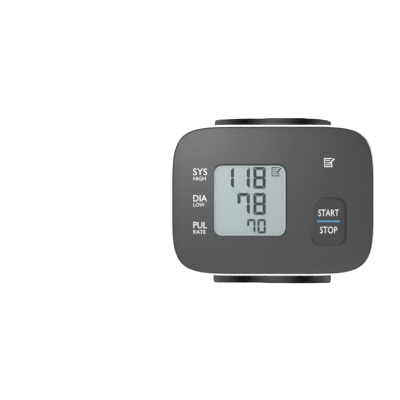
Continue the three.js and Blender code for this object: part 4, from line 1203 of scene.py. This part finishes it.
class Band:
    """A padded band along the oval: marks are lengths from its start, x is across it, depth is inwards."""

    def __init__(self, start, end, half, low, high, rise=plain_rise, inset=steady(STRAP_INSET),
                 edge=STRAP_EDGE, soft=STRAP_SOFT, end_round=0.0, aside=0.0):
        self.first = arc_at(start)
        self.length = abs(arc_at(end) - self.first)
        self.way = 1 if end > start else -1
        self.half = half
        self.low = low
        self.high = high
        self.middle = (low + high) / 2
        self.rise = rise
        self.inset = inset
        self.edge = edge
        self.soft = soft
        self.end_round = end_round
        self.aside = aside

    def degrees(self, mark):
        return angle_at(self.first + self.way * mark)

    def spot(self, mark, x, depth):
        degrees = self.degrees(mark)
        return (x + self.aside, *oval_point(degrees, self.inset(degrees) + depth))

    def wide(self, mark):
        """Half the band's width; the corners of its end are rounded."""
        wide = self.half(self.degrees(mark))
        over = self.end_round - max(self.length - mark, 0.0)
        if over > 0:
            wide -= self.end_round - math.sqrt(max(self.end_round ** 2 - over ** 2, 0.0))
        return wide

    def outside(self, mark, x):
        """Depth of the band's outside at one place."""
        half = self.half(self.degrees(mark))
        return self.low - self.rise(limited(x, -half, half), half)

    def marks(self):
        """Lengths at which the band has a section, closer together at its ends."""
        count = int(self.length / MARK_STEP)
        marks = END_MARKS + [self.length - mark for mark in END_MARKS]
        marks += [self.length * i / count for i in range(2, count - 1)]
        if self.end_round:
            marks += [self.length - self.end_round * (1 - up) for _, up in arc(END_ROUND_STEPS)]
        return sorted(set(round(mark, MARK_DIGITS) for mark in marks))

    def edge_at(self, mark, x):
        return min(self.edge, EDGE_LIMIT * (self.high - self.outside(mark, x)))

    def corner(self, side, wide, start, edge):
        """Rounded side of a section, from its outside to its inside."""
        core = wide - edge
        turns = arc(PAD_STEPS)
        points = [(side * (core + edge * up), start + edge * (1 - along)) for along, up in turns[1:]]
        low = self.high - edge
        return points + [(side * (core + edge * along), low + edge * up) for along, up in turns]

    def section(self, mark):
        """Closed cross-section: places across and depths."""
        wide = self.wide(mark)
        left_edge = self.edge_at(mark, -wide)
        right_edge = self.edge_at(mark, wide)
        low_x = -wide + left_edge
        high_x = wide - right_edge
        across = [low_x + (high_x - low_x) * share for share in shares(ACROSS_STEPS)]
        points = [(x, self.outside(mark, x)) for x in across]
        points += self.corner(1, wide, self.outside(mark, high_x), right_edge)
        points += [(x, self.high) for x in reversed(across[1:-1])]
        points += reversed(self.corner(-1, wide, self.outside(mark, low_x), left_edge))
        return points

    def thinned(self, depth, near):
        """A depth in a band that thins out this near to one of its ends."""
        share = limited(near / self.soft)
        left = math.sqrt(max(1 - (1 - share) ** 2, THINNEST))
        return self.middle + (depth - self.middle) * left

    def solid(self, name):
        rings = []
        places = []
        for mark in self.marks():
            near = min(mark, self.length - mark)
            ring = []
            for x, depth in self.section(mark):
                along = (self.first + mark) * WRINKLE_ALONG
                crease = noise.noise(Vector((x * WRINKLE_ACROSS, along, depth * WRINKLE_ACROSS)))
                ring.append(self.spot(mark, x, self.thinned(depth, near) + WRINKLE * crease))
                places.append((mark, x, depth))
            rings.append(ring)
        return with_weave(skin(name, rings), places)

    def side(self, side):
        """Places along one long side, each a mark and an x."""
        return [Vector((mark, side * self.wide(mark))) for mark in self.marks()][::side]

    def rim(self):
        """Both long sides and the rounded end between them."""
        last = self.wide(self.length)
        end = [Vector((self.length, last * (1 - 2 * share))) for share in shares(RIM_STEPS)]
        return self.side(1) + end[1:-1] + self.side(-1)

    def binding(self, name, path):
        """Tape folded over an edge."""
        rings = []
        places = []
        travelled = 0.0
        for i, here in enumerate(path):
            inward = beside(heading(path, i))
            travelled += (here - path[max(i - 1, 0)]).length
            edge = self.edge_at(*here)
            near = here.x if self.end_round else min(here.x, self.length - here.x)
            profile = []
            for share in shares(TAPE_STEPS):
                reach = TAPE_WIDTH + (edge - TAPE_WIDTH) * share
                profile.append((reach, self.outside(*(here + inward * reach))))
            profile += self.corner(-1, 0.0, profile[-1][1], edge)
            front = []
            back = []
            for j, (reach, depth) in enumerate(profile):
                under = beside(heading(profile, j))
                level = self.thinned(depth, near)
                for sunk, points in ((-TAPE_THICK, front), (TAPE_BED, back)):
                    place_at = here + inward * (reach + under.x * sunk)
                    points.append(self.spot(*place_at, level + under.y * sunk))
            rings.append(front + back[::-1])
            across = [(travelled, reach, 0.0) for reach, _ in profile]
            places += across + across[::-1]
        return with_weave(skin(name, rings), places)

    def stitches(self, name, path):
        """A row of stitches in the tape."""
        stacks = []
        wait = STITCH_PITCH
        for here, there in zip(path, path[1:]):
            wait -= (there - here).length
            if wait > 0:
                continue
            wait += STITCH_PITCH
            run = (there - here).normalized()
            inward = beside(run)
            middle = here + inward * STITCH_IN
            depth = self.outside(*middle) - TAPE_THICK
            rings = []
            for share in STITCH_SHARES:
                section = middle + run * share * STITCH_LENGTH / 2
                thick = STITCH_THICK * math.sqrt(STITCH_BLUNT - share * share)
                rings.append([self.spot(*(section + inward * thick * aside), depth - thick * up)
                              for aside, up in circle(STITCH_SIDES)])
            stacks.append(rings)
        return smooth(solids(name, stacks), CLOTH_ANGLE)


def fixed_band(start, end, width, low, high, rise=cuff_rise, soft=BAND_SOFT, aside=0.0):
    """A layer of the band that is fixed to the case."""
    return Band(start, end, steady(width / 2), low, high, rise, band_inset, CUFF_EDGE, soft, aside=aside)


def cuff():
    cover = fixed_band(BAND_START, BAND_END, CLOTH_WIDTH, 0.0, LINING_TOP, aside=-BAND_SPREAD)
    place(cover.solid("cuff_pad"), "black_cloth", replaced=["cuff_cover"])
    lining_top = LINING_TOP + LAYER_GAP
    lining = fixed_band(BAND_START, BAND_END, LINING_WIDTH, lining_top, CUFF_DEPTH, plain_rise)
    place(lining.solid("cuff_inner"), "grey_lining", replaced=["cuff_lining"])
    loops = fixed_band(LOOP_START, LOOP_END, LOOP_WIDTH, -LOOP_HIGH, -LOOP_LOW, soft=LOOP_SOFT)
    place(loops.solid("loop_tape"), "loop_cloth", replaced=["loop_patch"])
    shown = fixed_band(STITCHES_FROM, BAND_END, CLOTH_WIDTH, 0.0, LINING_TOP, aside=-BAND_SPREAD)
    for side, word in ((1, "right"), (-1, "left")):
        tape = cover.binding("cuff_tape_" + word, cover.side(side))
        place(tape, "black_cloth", look="tape_cloth")
        thread = shown.stitches("cuff_stitches_" + word, shown.side(side))
        place(thread, "black_cloth", look="stitch_thread")


def bend(made, look):
    """Give cloth that crosses a joint its look, and bake its place into its mesh; it is attached to no
    body.
    """
    made.data.materials.append(looks[look])
    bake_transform(made)


def strap():
    cover = Band(STRAP_START, TIP_END, tip_half, 0.0, COVER_DEPTH, strap_rise, end_round=END_ROUND,
                 aside=STRAP_ASIDE)
    cloth = cover.solid("strap_outer")
    tape = cover.binding("strap_tape", cover.rim())
    thread = cover.stitches("strap_stitches", cover.rim())
    for made, look in ((cloth, "black_cloth"), (tape, "tape_cloth"), (thread, "stitch_thread")):
        bend(made, look)
    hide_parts("strap_cover", "strap_tip_cover")
    pad = Band(STRAP_START, TIP_ANGLE, steady(PAD_WIDTH / 2), PAD_TOP, STRAP_DEPTH).solid("strap_inner")
    place(pad, "grey_lining", body="cuff_strap", replaced=["strap_pad"])
    hooks = Band(TIP_ANGLE, TIP_END, pad_half, PAD_TOP, STRAP_DEPTH, end_round=END_ROUND).solid("hook_tape")
    place(hooks, "hook_cloth", body="strap_tip", replaced=["hook_patch"])
    joint = Band(HINGE_ANGLE + JOINT_REACH, HINGE_ANGLE - JOINT_REACH, steady(JOINT_HALF),
                 -JOINT_PROUD, JOINT_BED, cuff_rise, steady(0.0))
    bend(joint.solid("hinge_cloth"), "black_cloth")


# The studio: lengths in metres, powers in watts

LIGHT_SIDE = (-0.72, 0.64, 0.27)  # the room is brightest to the left, behind and above
SKY_DARK = 0.4
SKY_BRIGHT = 1.2
FLOOR_HALF = 8.0
FLOOR_DROP = 0.2 * MM
FLOOR_LOOK = {"Base Color": (0.6, 0.6, 0.6, 1), "Roughness": 0.9,
              "Emission Color": (1, 1, 1, 1), "Emission Strength": 0.7}
LIGHTS = [
    # name, place, target, size and power
    ("key_light", (-0.043, 0.045, 0.232), (-0.03, 0.03, FACE_TOP), 0.06, 0.26),
    ("fill_light", (0.15, -0.5, 1.1), (0.0, 0.0, FACE_TOP), 0.9, 10.0),
]


def studio():
    corners = [(x * FLOOR_HALF, y * FLOOR_HALF, -FLOOR_DROP) for x, y in CORNERS]
    floor = mesh_object("floor", corners, [(0, 1, 2, 3)])
    material, _, shader = start_look("floor")
    set_sockets(shader, FLOOR_LOOK)
    floor.data.materials.append(material)
    floor.visible_diffuse = False
    floor.visible_glossy = False
    world = bpy.data.worlds.new("studio")
    world.use_nodes = True
    tree = world.node_tree
    way = add(tree, "TexCoord", "Generated")
    facing = add(tree, "VectorMath", "Value", {0: way, 1: LIGHT_SIDE}, operation="DOT_PRODUCT")
    bright = spread(tree, facing, SKY_DARK, SKY_BRIGHT, -1.0, 1.0)
    sky = tree.nodes["Background"]
    sky.inputs["Color"].default_value = (1, 1, 1, 1)
    tree.links.new(bright, sky.inputs["Strength"])
    bpy.context.scene.world = world
    bpy.context.scene.view_settings.view_transform = "Standard"


def soft_box(name, spot, target, size, power):
    lamp = bpy.data.lights.new(name, "AREA")
    lamp.size = size
    lamp.energy = power
    made = new_object(name, lamp)
    made.location = spot
    made.rotation_euler = (Vector(target) - Vector(spot)).to_track_quat("-Z", "Y").to_euler()
    made.visible_camera = False


def camera():
    data = bpy.data.cameras.new("camera")
    data.sensor_width = SENSOR
    data.lens = SENSOR * CAMERA_RISE * PHOTO_SCALE / PHOTO_SIZE
    data.clip_end = FAR_CLIP
    made = new_object("camera", data)
    made.location = (0.0, 0.0, FACE_TOP + CAMERA_RISE)
    aside, above = [(pixel - PHOTO_SIZE / 2) / PHOTO_SCALE for pixel in FACE_PIXEL]
    made.rotation_euler = (math.atan2(above, CAMERA_RISE), math.atan2(aside, CAMERA_RISE), 0.0)
    bpy.context.scene.camera = made


camera()
studio()
for light in LIGHTS:
    soft_box(*light)
front_cover()
case_lip()
display()
display_rim()
display_border()
display_figures()
start_key()
memory_key()
prints()
rear_case()
battery_cover()
small_parts()
cuff()
strap()
